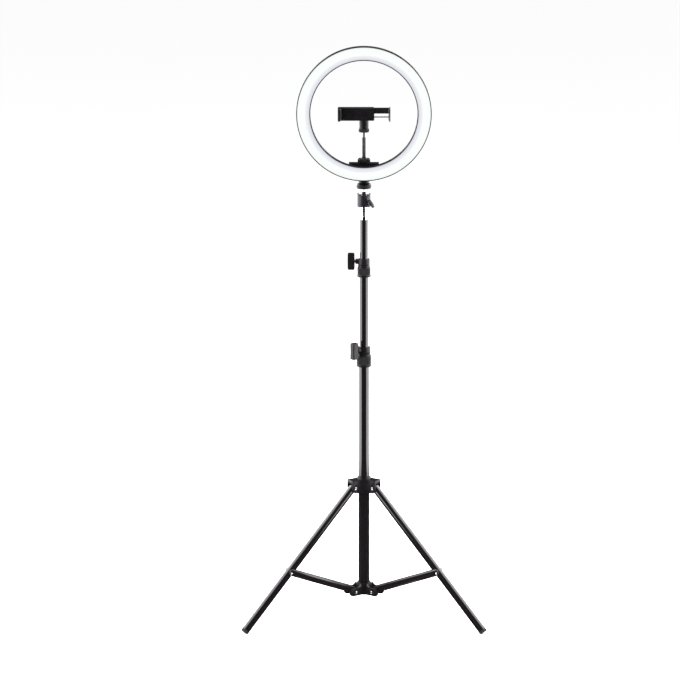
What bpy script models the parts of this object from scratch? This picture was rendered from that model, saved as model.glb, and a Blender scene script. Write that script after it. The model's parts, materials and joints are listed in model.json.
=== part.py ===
"""Ring light on a folding tripod stand, with a spring phone holder inside the ring.

Metres, +Z up, and the lamp shines towards -Y. The floor is z = 0, and the origin is the centre of the
floor rectangle that the three feet reach. Sizes along the column are heights above the floor.
"""
import math

import bmesh
import bpy
from mathutils import Matrix, Vector

# ---- Clearances ----------------------------------------------------------------------------------
GAP = 0.0003                 # between two pieces that touch
PAST = 0.0010                # how far a cutter passes the face that it opens
BEYOND = 0.0200              # how far one goes past a whole piece
SWING_GAP = 0.0004           # each side of a leg or stay that swings between two cheeks
TURN_GAP = 0.0010            # between a swinging or sliding end and what it passes

# ---- Facets --------------------------------------------------------------------------------------
TUBE_STEPS = 24
SMALL_STEPS = 16
PIN_STEPS = 12
RING_STEPS = 48
BOARD_STEPS = 36

# ---- Column: three telescoping tubes -------------------------------------------------------------
LOWER_TUBE_R = 0.0110
LOWER_WALL = 0.0010
TUBE_WALL = 0.0008
MIDDLE_PLAY = 0.0005           # between the middle tube and the lower tube's bore
TOP_PLAY = 0.0003              # between the top tube and the middle tube's bore
MIDDLE_TUBE_R = LOWER_TUBE_R - LOWER_WALL - MIDDLE_PLAY
TOP_TUBE_R = MIDDLE_TUBE_R - TUBE_WALL - TOP_PLAY
LOWER_TUBE_FOOT = 0.0500     # bottom end of each tube
MIDDLE_TUBE_FOOT = 0.2050
TOP_TUBE_FOOT = 0.3100
LOWER_TUBE_TOP = 0.5260
MIDDLE_TUBE_TOP = 0.7010
TOP_TUBE_TOP = 0.7955
PLUG_DEPTH = 0.0120          # how far a plastic end plug reaches into its tube
PLUG_HEAD = 0.0050

# ---- Clamp collars and their knobs ---------------------------------------------------------------
COLLAR_WALL = 0.0030
COLLAR_FLANGE = 0.0010       # how far the bottom flange stands proud
COLLAR_FLANGE_TALL = 0.0025
COLLAR_CHAMFER = 0.0020
COLLAR_STEP = 0.0015         # the thicker lower part ends this far above the tube's end
LOWER_COLLAR_BELOW = 0.0215  # length of collar below the end of the tube that carries it
UPPER_COLLAR_BELOW = 0.0180
COLLAR_ABOVE = 0.0175        # length above it, where the screw bears on the inner tube
KNOB_SCREW_DOWN = 0.0055     # screw axis below the collar's top
KNOB_SCREW_R = 0.0030
KNOB_BOSS_R = 0.0055
KNOB_BOSS_REACH = 0.0050     # boss beyond the collar's side
BOSS_INSIDE = 0.0012         # boss starts this far outside the tube that it clamps
KNOB_THICK = 0.0145          # along the screw
KNOB_TALL = 0.0330
KNOB_DEEP = 0.0130
KNOB_ROUND = 0.0030
LOWER_KNOB_TURN = math.radians(225)
UPPER_KNOB_TURN = math.radians(180)

# ---- Folding legs --------------------------------------------------------------------------------
ARMS = {"left": math.radians(210), "right": math.radians(330), "back": math.radians(90)}
LEG_TILT = math.radians(43.3)  # from upright
LEG_R = 0.0080
LEG_WALL = 0.0010
LEG_LENGTH = 0.3563          # pivot to the foot's end
LEG_RIVET_AT = 0.2110        # pivot to the stay's rivet
LEG_END_CLEAR = 0.0015       # between a leg's round end and the hub's sleeve
FOOT_FLAT = 0.0023           # what the floor takes off the foot's lowest corner
LEG_PIVOT_Z = LEG_LENGTH * math.cos(LEG_TILT) + LEG_R * math.sin(LEG_TILT) - FOOT_FLAT
STAY_PIVOT_Z = 0.0515
PIN_R = 0.0020
PIN_HEAD_R = 0.0027
PIN_HEAD = 0.0010

# ---- Hubs ----------------------------------------------------------------------------------------
HUB_WALL = 0.0027
HUB_LAND = 0.0015            # sleeve left between the column's bore wall and a leg's slot
HUB_BELOW_PIVOT = 0.0100
HUB_ROOF = 0.0070
HUB_NECK = 0.0040            # sleeve standing above the roof
HUB_CORNER_R = 0.0085        # rounded lower corner of each arm
HUB_CHEEK = 0.0026
HUB_ARM_BEYOND = 0.0070      # arm's end past the pivot
HUB_WEB = 0.0025             # hollow edge between two arms, beyond the sleeve
HUB_NECK_STEP = 0.0012       # neck above the roof, thinner than the sleeve
HUB_BOSS = 0.0015            # screw boss beyond that edge
HUB_BOSS_R = 0.0048
LOWER_HUB_CHEEK = 0.0028
LOWER_HUB_BELOW_PIVOT = 0.0080
LOWER_HUB_ABOVE_PIVOT = 0.0150
LOBE_R = 0.0078
ARM_INSIDE = 0.0005          # arm starts this far outside the bore
LOBE_BEYOND_PIVOT = 0.0065   # centre of each rounded arm end, past the pivot
HUB_KNOB_TURN = math.radians(30)
HUB_KNOB_R = 0.0070
HUB_KNOB_THICK = 0.0090
HUB_KNOB_DROP = 0.0030       # screw axis below the leg pivots
HUB_KNOB_SOLID = 0.0030      # end of the knob beyond its screw

# ---- Stays: pressed channels, open side down -----------------------------------------------------
STAY_WALL = 0.0012
STAY_WEB_CUT = 0.0360        # web cut back from the leg's rivet, so the leg can swing through
STAY_END_R = 0.0040
STAY_WEB_CLEAR = 0.0001      # added between the stay's web and the folded leg
STAY_CORNER = 0.0030         # web's outer corner cut off

# ---- Spigot and ball head ------------------------------------------------------------------------
STUD_R = 0.0031              # 1/4 inch stud
SPIGOT_STUD = 0.0055         # stud in the cup's floor
SPIGOT_PLUG = 0.0160         # spigot inside the top tube
SPIGOT_RIM_TALL = 0.0060
SPIGOT_RIM_IN = 0.0009       # rim inside the top tube's outline
SPIGOT_RIM = 0.0012          # rim beyond the spigot
SPIGOT_R = TOP_TUBE_R - SPIGOT_RIM_IN - SPIGOT_RIM
CUP_FLOOR_Z = 0.8208
CUP_R = 0.0135
CUP_CHAMFER = 0.0010
CUP_LIP_THICK = 0.0017
BALL_Z = 0.8385
BALL_R = 0.0085
SEAT_WALL = 0.0014
CUP_LIP = 0.0042             # lip's top above the ball's centre
CUP_EAR = 0.0080             # ears' top above the ball's centre
CUP_NOTCH = 0.0170           # width of the notch between the ears
LIP_EASE = 0.0005            # between the ball and the lip's upper edge
STEM_NECK_R = 0.0030
STEM_CONE_R = 0.0048         # double cone on the stem, its widest place
STEM_CONE_Z = 0.0100         # that place, the neck's bottom and the thread's start above the ball
STEM_NECK_Z = 0.0082
STEM_THREAD_Z = 0.0140
STEM_CONE_TOP_Z = 0.0120
LEVER_Z = 0.8290
LEVER_TURN = math.radians(-50)
LEVER_LEAN = math.radians(35)  # of the wing, from upright
LEVER_SCREW_R = 0.0020
LEVER_WING = 0.0180
LEVER_THICK = 0.0040
LEVER_HUB_R = 0.0040
LEVER_HUB_LONG = 0.0030
LEVER_WING_DEEP = 0.0085
DISC_Z = 0.8565
DISC_THICK = 0.0095
DISC_R = 0.0142
DISC_BEVEL = 0.0018
DISC_BEVEL_TALL = 0.0030
DISC_UNDER_BEVEL = 0.0010
STUD_TOP = 0.8735

# ---- Ring ----------------------------------------------------------------------------------------
RING_BOTTOM_Z = 0.8740
RING_OUTER_R = 0.1300
RING_BAND = 0.0270
RING_DEPTH = 0.0215
RING_BACK_Y = -0.0020        # back of the housing, from the column's axis
RING_WALL = 0.0014
RING_ROUND = 0.0060
DIFFUSER_WALL = 0.0016
DIFFUSER_CROWN = 0.0012
BOARD_THICK = 0.0016
LED_COUNT = 24
LED_SIZE = 0.0035
LED_TALL = 0.0012
LED_SEAT = 0.0003            # LED sunk into the board, so the two are one piece
BOARD_EASE = 0.0006          # board inside the trough's rounded corners
GROMMET_R = 0.0050
GROMMET_TALL = 0.0090
GROMMET_FLANGE = 0.0025
GROMMET_NECK_R = 0.0040
GROMMET_END_R = 0.0030
GROMMET_BORE_R = 0.00175
GROMMET_TURN = math.radians(-52)

# ---- Mount block behind the ring -----------------------------------------------------------------
BLOCK_HALF = 0.0290          # half width where its top meets the ring's inner edge
BLOCK_DEEP = 0.0200
BLOCK_SIDE = 0.0110          # height of the block's upright ends
BLOCK_SHOULDER = 0.0040      # sloping underside's lowest point, above the ring's bottom
NECK_LOW_R = 0.0098
NECK_HIGH_R = 0.0124

# ---- Phone holder --------------------------------------------------------------------------------
HOLDER_Y = 0.0090
HOLDER_FOOT_R = 0.0122
HOLDER_FOOT_TALL = 0.0080
HOLDER_DOME_R = 0.0060
HOLDER_DOME_TOP_R = 0.0036
HOLDER_DOME = 0.0022         # dome's height
HOLDER_FOOT_BEVEL = 0.0008
POST_R = 0.0040
POST_NECK_R = 0.0022
POST_STUD_UP = 0.0006        # post's end above the block
POST_NECK_LONG = 0.0100      # neck below the ball
POST_TAPER = 0.0020
HOLDER_BALL_Z = 0.9720
HOLDER_BALL_R = 0.0065
HOLDER_CLEAR = 0.0016        # round the ball, for its nylon cap
SOCKET_R = 0.0105
CAP_WALL = 0.0010            # nylon cap over the ball
NUT_THROAT_R = 0.0060
NUT_TALL = 0.0068
CLAMP_Z = 1.0010
CLAMP_TALL = 0.0260
CLAMP_FRONT_Y = -0.0010
CLAMP_DEEP = 0.0100
JAW_OPENING = 0.0903
JAW_LEFT_X = -0.0433         # pad face of the fixed jaw
JAW_REACH = 0.0150           # jaws in front of the clamp's rest face
FIXED_JAW_THICK = 0.0057
SLIDING_JAW_THICK = 0.0022
PAD_THICK = 0.0014
PAD_INSET = 0.0020
PAD_ROUND = 0.0004
CLAMP_ROUND = 0.0015
JAW_ROUND = 0.0020
SLIDING_JAW_ROUND = 0.0009
SOCKET_DEEP = 0.0080         # socket's boss inside the clamp's body
JAW_RELIEF = 0.0006          # groove beside the fixed jaw, so the rest face ends clear of its pad
CLAMP_END_X = 0.0200
JAW_TRAVEL = 0.0280
BAR_TALL = 0.0110
BAR_DEEP = 0.0054
BAR_INNER_X = -0.0080
BAR_INSET = 0.0020           # bar behind the rest face
BAR_RAISE = 0.0005           # bar above the clamp's middle
ROD_INSET = 0.0050           # rod's axis behind the rest face
ROD_DROP = 0.0060            # rod's axis below the clamp's middle
ROD_R = 0.0012
SPRING_R = 0.0022
SPRING_WIRE_R = 0.0004
SPRING_TURNS = 7

# ---- Worked out from the sizes above -------------------------------------------------------------
HUB_BORE_R = LOWER_TUBE_R + GAP
HUB_SLEEVE_R = HUB_BORE_R + HUB_WALL
HUB_SLOT_R = HUB_SLEEVE_R + HUB_LAND
PIVOT_REACH = HUB_SLOT_R + LEG_R + LEG_END_CLEAR   # pivots from the column's axis, on both hubs
HUB_ARM_REACH = PIVOT_REACH + HUB_ARM_BEYOND
HUB_ARM_FLAT = PIVOT_REACH - PIN_HEAD_R - GAP   # each arm's straight side starts here
HUB_WEB_R = HUB_SLEEVE_R + HUB_WEB
LEG_DIRECTION = Vector((math.sin(LEG_TILT), 0, -math.cos(LEG_TILT)))
LEG_PIVOT = Vector((PIVOT_REACH, 0, LEG_PIVOT_Z))
STAY_PIVOT = Vector((PIVOT_REACH, 0, STAY_PIVOT_Z))
STAY_LINE = LEG_PIVOT + LEG_DIRECTION * LEG_RIVET_AT - STAY_PIVOT
STAY_LENGTH = STAY_LINE.length
STAY_RISE = math.atan2(STAY_LINE.z, STAY_LINE.x)
FOOT_REACH = PIVOT_REACH + LEG_LENGTH * math.sin(LEG_TILT)
FOOT_BACK = FOOT_REACH + LEG_R * math.cos(LEG_TILT)
FOOT_FRONT = FOOT_REACH / 2 + LEG_R * math.sqrt((math.cos(LEG_TILT) / 2) ** 2 + 0.75)
AXIS_Y = (FOOT_FRONT - FOOT_BACK) / 2        # puts the origin midway between front and back feet
STAY_INNER_HALF = LEG_R + SWING_GAP
STAY_OUTER_HALF = STAY_INNER_HALF + STAY_WALL
STAY_WEB_UNDER = LEG_R + SWING_GAP + STAY_WEB_CLEAR
STAY_TOP = STAY_WEB_UNDER + STAY_WALL
HUB_SLOT_HALF = LEG_R + SWING_GAP
HUB_OUTER_HALF = HUB_SLOT_HALF + HUB_CHEEK
LOWER_SLOT_HALF = STAY_OUTER_HALF + SWING_GAP
LOWER_OUTER_HALF = LOWER_SLOT_HALF + LOWER_HUB_CHEEK
RING_Z = RING_BOTTOM_Z + RING_OUTER_R
RING_INNER_R = RING_OUTER_R - RING_BAND
BLOCK_TOP_Z = RING_Z - math.sqrt(RING_INNER_R ** 2 - BLOCK_HALF ** 2)
DISC_TOP_Z = DISC_Z + DISC_THICK
JAW_RIGHT_X = JAW_LEFT_X + JAW_OPENING
POCKET_X = BAR_INNER_X - JAW_TRAVEL - TURN_GAP


# ---- Tools ---------------------------------------------------------------------------------------
def clear_scene():
    for thing in list(bpy.data.objects):
        bpy.data.objects.remove(thing, do_unlink=True)


def make_collection(name):
    group = bpy.data.collections.new(name)
    bpy.context.scene.collection.children.link(group)
    return group


def make_material(name, colour, roughness, metallic=0.0):
    surface = bpy.data.materials.new(name)
    surface.use_nodes = True
    shader = surface.node_tree.nodes["Principled BSDF"]
    shader.inputs["Base Color"].default_value = (*colour, 1.0)
    shader.inputs["Roughness"].default_value = roughness
    shader.inputs["Metallic"].default_value = metallic
    return surface


def make_empty(name, parent=None, location=(0, 0, 0), rotation=(0, 0, 0)):
    empty = bpy.data.objects.new(name, None)
    empty.empty_display_size = 0.01
    PARTS.objects.link(empty)
    empty.parent = parent
    empty.location = location
    empty.rotation_euler = rotation
    return empty


def place(name, mesh, finish, parent, location=(0, 0, 0), rotation=(0, 0, 0)):
    """Put a mesh in the model as a named piece, or among the cutters when it has no finish."""
    piece = bpy.data.objects.new(name, mesh)
    if finish is None:
        CUTTERS.objects.link(piece)
        piece.display_type = "WIRE"
        piece.hide_render = True
    else:
        PARTS.objects.link(piece)
        mesh.materials.append(finish)
    piece.parent = parent
    piece.location = location
    piece.rotation_euler = rotation
    return piece


def turned(name, profile, finish, parent, location=(0, 0, 0), rotation=(0, 0, 0), steps=TUBE_STEPS,
           closed=False):
    """Turn a profile of (radius, height) about local Z. It runs down its outer side."""
    mesh = bpy.data.meshes.new(name)
    shape = bmesh.new()
    corners = [shape.verts.new((radius, 0, height)) for radius, height in profile]
    for first, second in zip(corners, corners[1:]):
        shape.edges.new((first, second))
    if closed:
        shape.edges.new((corners[-1], corners[0]))
    shape.to_mesh(mesh)
    shape.free()
    piece = place(name, mesh, finish, parent, location, rotation)
    turn = piece.modifiers.new("turn", "SCREW")
    turn.angle = math.tau
    turn.steps = steps
    turn.render_steps = steps
    turn.use_merge_vertices = True
    turn.merge_threshold = 0.00001
    turn.use_smooth_shade = True
    return piece


def tube_profile(outer, inner, low, high):
    return [(outer, high), (outer, low), (inner, low), (inner, high)]


def block_mesh(name, low, high):
    """A box between two opposite corners."""
    low = Vector(low)
    high = Vector(high)
    mesh = bpy.data.meshes.new(name)
    shape = bmesh.new()
    bmesh.ops.create_cube(shape, size=1.0)
    bmesh.ops.scale(shape, vec=high - low, verts=shape.verts)
    bmesh.ops.translate(shape, vec=(low + high) / 2, verts=shape.verts)
    shape.to_mesh(mesh)
    shape.free()
    return mesh


def rod_mesh(name, radius, low, high, axis="Z", steps=SMALL_STEPS, high_radius=None):
    """A round bar or cone on a main axis, between two distances along it."""
    turn = {"X": Matrix.Rotation(math.pi / 2, 4, "Y"), "Y": Matrix.Rotation(-math.pi / 2, 4, "X"),
            "Z": Matrix.Identity(4)}[axis]
    mesh = bpy.data.meshes.new(name)
    shape = bmesh.new()
    bmesh.ops.create_cone(shape, cap_ends=True, segments=steps, radius1=radius,
                          radius2=radius if high_radius is None else high_radius, depth=high - low)
    bmesh.ops.translate(shape, vec=(0, 0, (low + high) / 2), verts=shape.verts)
    bmesh.ops.transform(shape, matrix=turn, verts=shape.verts)
    shape.to_mesh(mesh)
    shape.free()
    mesh.shade_smooth()
    mesh.set_sharp_from_angle(angle=math.radians(40))
    return mesh


def outline_mesh(name, points, half_thickness, upright=True):
    """Extrude a flat outline both ways. An upright one is drawn in (X, Z) and is thick along Y."""
    curve = bpy.data.curves.new(name, "CURVE")
    curve.dimensions = "2D"
    curve.fill_mode = "BOTH"
    curve.extrude = half_thickness
    spline = curve.splines.new("POLY")
    spline.points.add(len(points) - 1)
    for point, (across, up) in zip(spline.points, points):
        point.co = (across, up, 0, 1)
    spline.use_cyclic_u = True
    sketch = bpy.data.objects.new(name + "_sketch", curve)
    CUTTERS.objects.link(sketch)
    depsgraph = bpy.context.evaluated_depsgraph_get()
    mesh = bpy.data.meshes.new_from_object(sketch.evaluated_get(depsgraph))
    bpy.data.objects.remove(sketch, do_unlink=True)
    shape = bmesh.new()
    shape.from_mesh(mesh)
    bmesh.ops.remove_doubles(shape, verts=shape.verts, dist=0.00001)
    bmesh.ops.recalc_face_normals(shape, faces=shape.faces)
    if upright:
        bmesh.ops.transform(shape, matrix=Matrix.Rotation(math.pi / 2, 4, "X"), verts=shape.verts)
    shape.to_mesh(mesh)
    shape.free()
    return mesh


def arc(centre, radius, start, end, steps):
    """Points on an arc, with its angles in degrees."""
    angles = [math.radians(start + (end - start) * step / steps) for step in range(steps + 1)]
    return [(centre[0] + radius * math.cos(angle), centre[1] + radius * math.sin(angle))
            for angle in angles]


def boolean(piece, other, operation="DIFFERENCE"):
    change = piece.modifiers.new(other.name, "BOOLEAN")
    change.operation = operation
    change.solver = "EXACT"
    change.object = other


def round_edges(piece, width, segments=2):
    bevel = piece.modifiers.new("rounded_edges", "BEVEL")
    bevel.width = width
    bevel.segments = segments
    bevel.limit_method = "ANGLE"
    bevel.angle_limit = math.radians(50)


def cut_rod(piece, name, radius, low, high, axis, parent, location=(0, 0, 0), rotation=(0, 0, 0)):
    mesh = rod_mesh(name, radius, low, high, axis)
    boolean(piece, place(name, mesh, None, parent, location, rotation))


# ---- Column --------------------------------------------------------------------------------------
def end_plug(name, tube_r, wall, tube_end, parent):
    """A nylon plug in the bottom end of a tube, whose head guides it in the next tube."""
    neck_r = tube_r - wall - GAP
    head_top = tube_end - GAP
    profile = [(0, head_top + PLUG_DEPTH), (neck_r, head_top + PLUG_DEPTH), (neck_r, head_top),
               (tube_r, head_top), (tube_r, head_top - PLUG_HEAD), (0, head_top - PLUG_HEAD)]
    return turned(name, profile, NYLON, parent)


def column_tube(name, radius, wall, low, high, parent):
    return turned(name, tube_profile(radius, radius - wall, low, high), TUBE_PAINT, parent, closed=True)


def clamp_collar(name, outer_tube_r, inner_tube_r, tube_end, below, turn, parent):
    """A moulded collar on a tube's top end, with a side boss for the screw that grips the next tube."""
    side_r = outer_tube_r + GAP + COLLAR_WALL
    upper_r = side_r - COLLAR_FLANGE
    bottom = tube_end - below
    top = tube_end + COLLAR_ABOVE
    flange_top = bottom + COLLAR_FLANGE_TALL
    step = tube_end + COLLAR_STEP
    profile = [(upper_r - COLLAR_FLANGE, top), (upper_r, top - COLLAR_CHAMFER), (upper_r, step),
               (side_r, step),
               (side_r, flange_top), (side_r + COLLAR_FLANGE, flange_top),
               (side_r + COLLAR_FLANGE, bottom), (outer_tube_r + GAP, bottom),
               (outer_tube_r + GAP, tube_end + GAP), (inner_tube_r + GAP, tube_end + GAP),
               (inner_tube_r + GAP, top)]
    collar = turned(name, profile, ABS, parent, closed=True)
    screw_z = top - KNOB_SCREW_DOWN
    spin = (0, 0, turn)
    boss = rod_mesh(name + "_boss", KNOB_BOSS_R, inner_tube_r + BOSS_INSIDE, upper_r + KNOB_BOSS_REACH, "X")
    boolean(collar, place(name + "_boss", boss, None, parent, (0, 0, screw_z), spin), "UNION")
    cut_rod(collar, name + "_screw_hole", KNOB_SCREW_R + GAP, inner_tube_r - PAST,
            upper_r + KNOB_BOSS_REACH + PAST, "X", parent, (0, 0, screw_z), spin)
    return screw_z, upper_r + KNOB_BOSS_REACH


def tee_knob(name, inner_tube_r, screw_z, boss_end, turn, parent):
    """A T-handled clamp screw: a moulded handle on a steel screw that bears on the inner tube."""
    axis = make_empty(name + "_axis", parent, (0, 0, screw_z), (0, 0, turn))
    face = boss_end + TURN_GAP
    handle = place(name, block_mesh(name, (face, -KNOB_DEEP / 2, -KNOB_TALL / 2),
                                    (face + KNOB_THICK, KNOB_DEEP / 2, KNOB_TALL / 2)), ABS, axis)
    round_edges(handle, KNOB_ROUND)
    screw_end = face + KNOB_THICK * 2 / 3
    cut_rod(handle, name + "_socket", KNOB_SCREW_R + GAP, face - PAST, screw_end + GAP, "X", axis)
    screw = rod_mesh(name + "_screw", KNOB_SCREW_R, inner_tube_r + GAP, screw_end, "X")
    place(name + "_screw", screw, STEEL, axis)


# ---- Hubs and legs -------------------------------------------------------------------------------
def rivet_profile(half_length):
    """A tubular rivet with a head at each end, its centre at the origin."""
    return [(0, half_length + PIN_HEAD), (PIN_HEAD_R, half_length + PIN_HEAD),
            (PIN_HEAD_R, half_length), (PIN_R, half_length), (PIN_R, -half_length),
            (PIN_HEAD_R, -half_length), (PIN_HEAD_R, -half_length - PIN_HEAD),
            (0, -half_length - PIN_HEAD)]


def hub_outline():
    """The upper hub from above: three square arms joined by hollow curves."""
    points = []
    turns = sorted(ARMS.values())
    for turn, following in zip(turns, turns[1:] + [turns[0] + math.tau]):
        spin = Matrix.Rotation(turn, 2)
        next_spin = Matrix.Rotation(following, 2)
        near = spin @ Vector((HUB_ARM_FLAT, HUB_OUTER_HALF))
        far = next_spin @ Vector((HUB_ARM_FLAT, -HUB_OUTER_HALF))
        middle = (near + far) / 2
        pull = middle.normalized() * (2 * HUB_WEB_R - middle.length)
        points.append(tuple(spin @ Vector((HUB_ARM_REACH, -HUB_OUTER_HALF))))
        points.append(tuple(spin @ Vector((HUB_ARM_REACH, HUB_OUTER_HALF))))
        for step in range(5):
            share = step / 4
            curve = near * (1 - share) ** 2 + pull * 2 * share * (1 - share) + far * share ** 2
            points.append(tuple(curve))
    return points


def hub_corner(bottom):
    """What the rounded lower corner of an arm leaves away, from the side."""
    middle = (HUB_ARM_REACH - HUB_CORNER_R, bottom + HUB_CORNER_R)
    beyond = HUB_ARM_REACH + PAST
    return (arc(middle, HUB_CORNER_R, 0, -90, 6)
            + [(middle[0], bottom - PAST), (beyond, bottom - PAST), (beyond, middle[1])])


def upper_hub(parent):
    """The sliding hub: a roofed three-armed casting round the lower tube."""
    bottom = LEG_PIVOT_Z - HUB_BELOW_PIVOT
    slot_top = LEG_PIVOT_Z + LEG_R + TURN_GAP
    roof = slot_top + HUB_ROOF
    mesh = outline_mesh("leg_hub", hub_outline(), (roof - bottom) / 2, upright=False)
    mesh.transform(Matrix.Translation((0, 0, (roof + bottom) / 2)))
    hub = place("leg_hub", mesh, ABS, parent)
    neck = rod_mesh("hub_neck", HUB_SLEEVE_R - HUB_NECK_STEP, bottom + PAST, roof + HUB_NECK,
                    steps=TUBE_STEPS)
    boolean(hub, place("hub_neck", neck, None, parent), "UNION")
    knob_z = LEG_PIVOT_Z - HUB_KNOB_DROP
    boss = rod_mesh("hub_boss", HUB_BOSS_R, HUB_BORE_R + PAST, HUB_WEB_R + HUB_BOSS, "X")
    spin = (0, 0, HUB_KNOB_TURN)
    boolean(hub, place("hub_boss", boss, None, parent, (0, 0, knob_z), spin), "UNION")
    bore = rod_mesh("hub_bore", HUB_BORE_R, bottom - BEYOND, roof + HUB_NECK + BEYOND,
                    steps=TUBE_STEPS)
    boolean(hub, place("hub_bore", bore, None, parent))
    for side, turn in ARMS.items():
        slot = block_mesh("hub_slot", (HUB_SLOT_R, -HUB_SLOT_HALF, bottom - BEYOND),
                          (HUB_ARM_REACH + BEYOND, HUB_SLOT_HALF, slot_top))
        boolean(hub, place("hub_slot_" + side, slot, None, parent, rotation=(0, 0, turn)))
        corner = outline_mesh("hub_corner", hub_corner(bottom), HUB_OUTER_HALF + PAST)
        boolean(hub, place("hub_corner_" + side, corner, None, parent, rotation=(0, 0, turn)))
        cut_rod(hub, "hub_pin_hole_" + side, PIN_R + GAP, -BEYOND, BEYOND,
                "Y", ARM_AXES[side], (PIVOT_REACH, 0, LEG_PIVOT_Z))
    cut_rod(hub, "hub_screw_hole", LEVER_SCREW_R + GAP, LOWER_TUBE_R - PAST,
            HUB_WEB_R + HUB_BOSS + PAST, "X", parent, (0, 0, knob_z), spin)
    return knob_z


def hub_lock(parent, knob_z):
    """The knob that locks the sliding hub to the column, and its screw."""
    axis = make_empty("hub_lock_axis", parent, (0, 0, knob_z), (0, 0, HUB_KNOB_TURN))
    face = HUB_WEB_R + HUB_BOSS + TURN_GAP
    end = face + HUB_KNOB_THICK
    knob = place("hub_lock_knob", rod_mesh("hub_lock_knob", HUB_KNOB_R, face, end, "X"), ABS, axis)
    screw_end = end - HUB_KNOB_SOLID
    cut_rod(knob, "hub_lock_socket", LEVER_SCREW_R + GAP, face - PAST, screw_end + GAP, "X", axis)
    screw = rod_mesh("hub_lock_screw", LEVER_SCREW_R, LOWER_TUBE_R + GAP, screw_end, "X")
    place("hub_lock_screw", screw, STEEL, axis)


def lower_hub_arm():
    """One arm of the fixed lower hub from the side: a long rounded end that flares up to the column."""
    lobe = (PIVOT_REACH + LOBE_BEYOND_PIVOT, STAY_PIVOT_Z)
    inner_r = HUB_BORE_R + ARM_INSIDE
    flare = [(inner_r, STAY_PIVOT_Z + LOWER_HUB_ABOVE_PIVOT - PAST)]
    flare += [(HUB_SLEEVE_R + share * share * (lobe[0] - HUB_SLEEVE_R),
               STAY_PIVOT_Z + LOBE_R + (1 - share) ** 2 * (LOWER_HUB_ABOVE_PIVOT - PAST - LOBE_R))
              for share in (0, 0.25, 0.5, 0.75)]
    return flare + arc(lobe, LOBE_R, 90, -90, 10) + [(inner_r, STAY_PIVOT_Z - LOBE_R + PAST)]


def lower_hub(parent):
    """The fixed hub on the column's bottom end, whose cheeks carry the stays."""
    low = STAY_PIVOT_Z - LOWER_HUB_BELOW_PIVOT
    high = STAY_PIVOT_Z + LOWER_HUB_ABOVE_PIVOT
    profile = tube_profile(HUB_SLEEVE_R, HUB_BORE_R, low, high)
    hub = turned("lower_hub", profile, ABS, parent, closed=True)
    for side, turn in ARMS.items():
        arm = outline_mesh("lower_arm", lower_hub_arm(), LOWER_OUTER_HALF)
        boolean(hub, place("lower_arm_" + side, arm, None, parent, rotation=(0, 0, turn)), "UNION")
    bore = rod_mesh("lower_bore", HUB_BORE_R, low - BEYOND, high + BEYOND, steps=TUBE_STEPS)
    boolean(hub, place("lower_bore", bore, None, parent))
    for side, turn in ARMS.items():
        slot = block_mesh("lower_slot", (HUB_SLEEVE_R, -LOWER_SLOT_HALF, low - BEYOND),
                          (PIVOT_REACH + BEYOND, LOWER_SLOT_HALF, high + BEYOND))
        boolean(hub, place("lower_slot_" + side, slot, None, parent, rotation=(0, 0, turn)))
        cut_rod(hub, "lower_pin_hole_" + side, PIN_R + GAP, -LOWER_OUTER_HALF - BEYOND,
                LOWER_OUTER_HALF + BEYOND, "Y", ARM_AXES[side], (PIVOT_REACH, 0, STAY_PIVOT_Z))


def leg(side):
    """A tube leg hung on its pin, with a rounded top end and a rubber foot cut flat at the floor."""
    arm = ARM_AXES[side]
    hinge = make_empty("leg_hinge_" + side, arm, LEG_PIVOT, (0, -LEG_TILT, 0))
    tube_end = LEG_LENGTH - PLUG_HEAD - GAP
    profile = tube_profile(LEG_R, LEG_R - LEG_WALL, -tube_end, LEG_R + PAST)
    tube = turned("leg_" + side, profile, TUBE_PAINT, hinge, steps=SMALL_STEPS, closed=True)
    cap = [(-2 * LEG_R, 0)] + arc((0, 0), LEG_R, 180, 0, 8) + [(2 * LEG_R, 0)]
    cap += [(2 * LEG_R, 3 * LEG_R), (-2 * LEG_R, 3 * LEG_R)]
    boolean(tube, place("leg_end_" + side, outline_mesh("leg_end", cap, 2 * LEG_R), None, hinge))
    cut_rod(tube, "leg_pin_hole_" + side, PIN_R + GAP, -2 * LEG_R, 2 * LEG_R, "Y", hinge)

    neck_r = LEG_R - LEG_WALL - GAP
    shoulder = PLUG_HEAD - LEG_LENGTH
    profile = [(0, shoulder + PLUG_DEPTH), (neck_r, shoulder + PLUG_DEPTH), (neck_r, shoulder),
               (LEG_R, shoulder), (LEG_R, -LEG_LENGTH), (0, -LEG_LENGTH)]
    foot = turned("foot_" + side, profile, RUBBER, hinge, steps=SMALL_STEPS)
    reach = 2 * LEG_R
    floor = block_mesh("floor_cut", (FOOT_REACH - reach, -reach, -reach), (FOOT_REACH + reach, reach, 0))
    boolean(foot, place("floor_cut_" + side, floor, None, arm))

    pin = rivet_profile(HUB_OUTER_HALF + GAP)
    turned("leg_pin_" + side, pin, NICKEL, arm, LEG_PIVOT, (math.pi / 2, 0, 0), steps=PIN_STEPS)


def stay_outline():
    """A stay from the side, with round ends on its rivets and a straight top."""
    end = STAY_LENGTH
    inner_end = arc((0, 0), STAY_END_R, 150, 270, 5)
    outer_end = arc((end, 0), STAY_END_R, 270, 360, 4)
    return inner_end + outer_end + [(end + STAY_END_R, STAY_TOP - STAY_CORNER),
                                    (end + STAY_END_R - STAY_CORNER, STAY_TOP), (STAY_END_R, STAY_TOP)]


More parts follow.
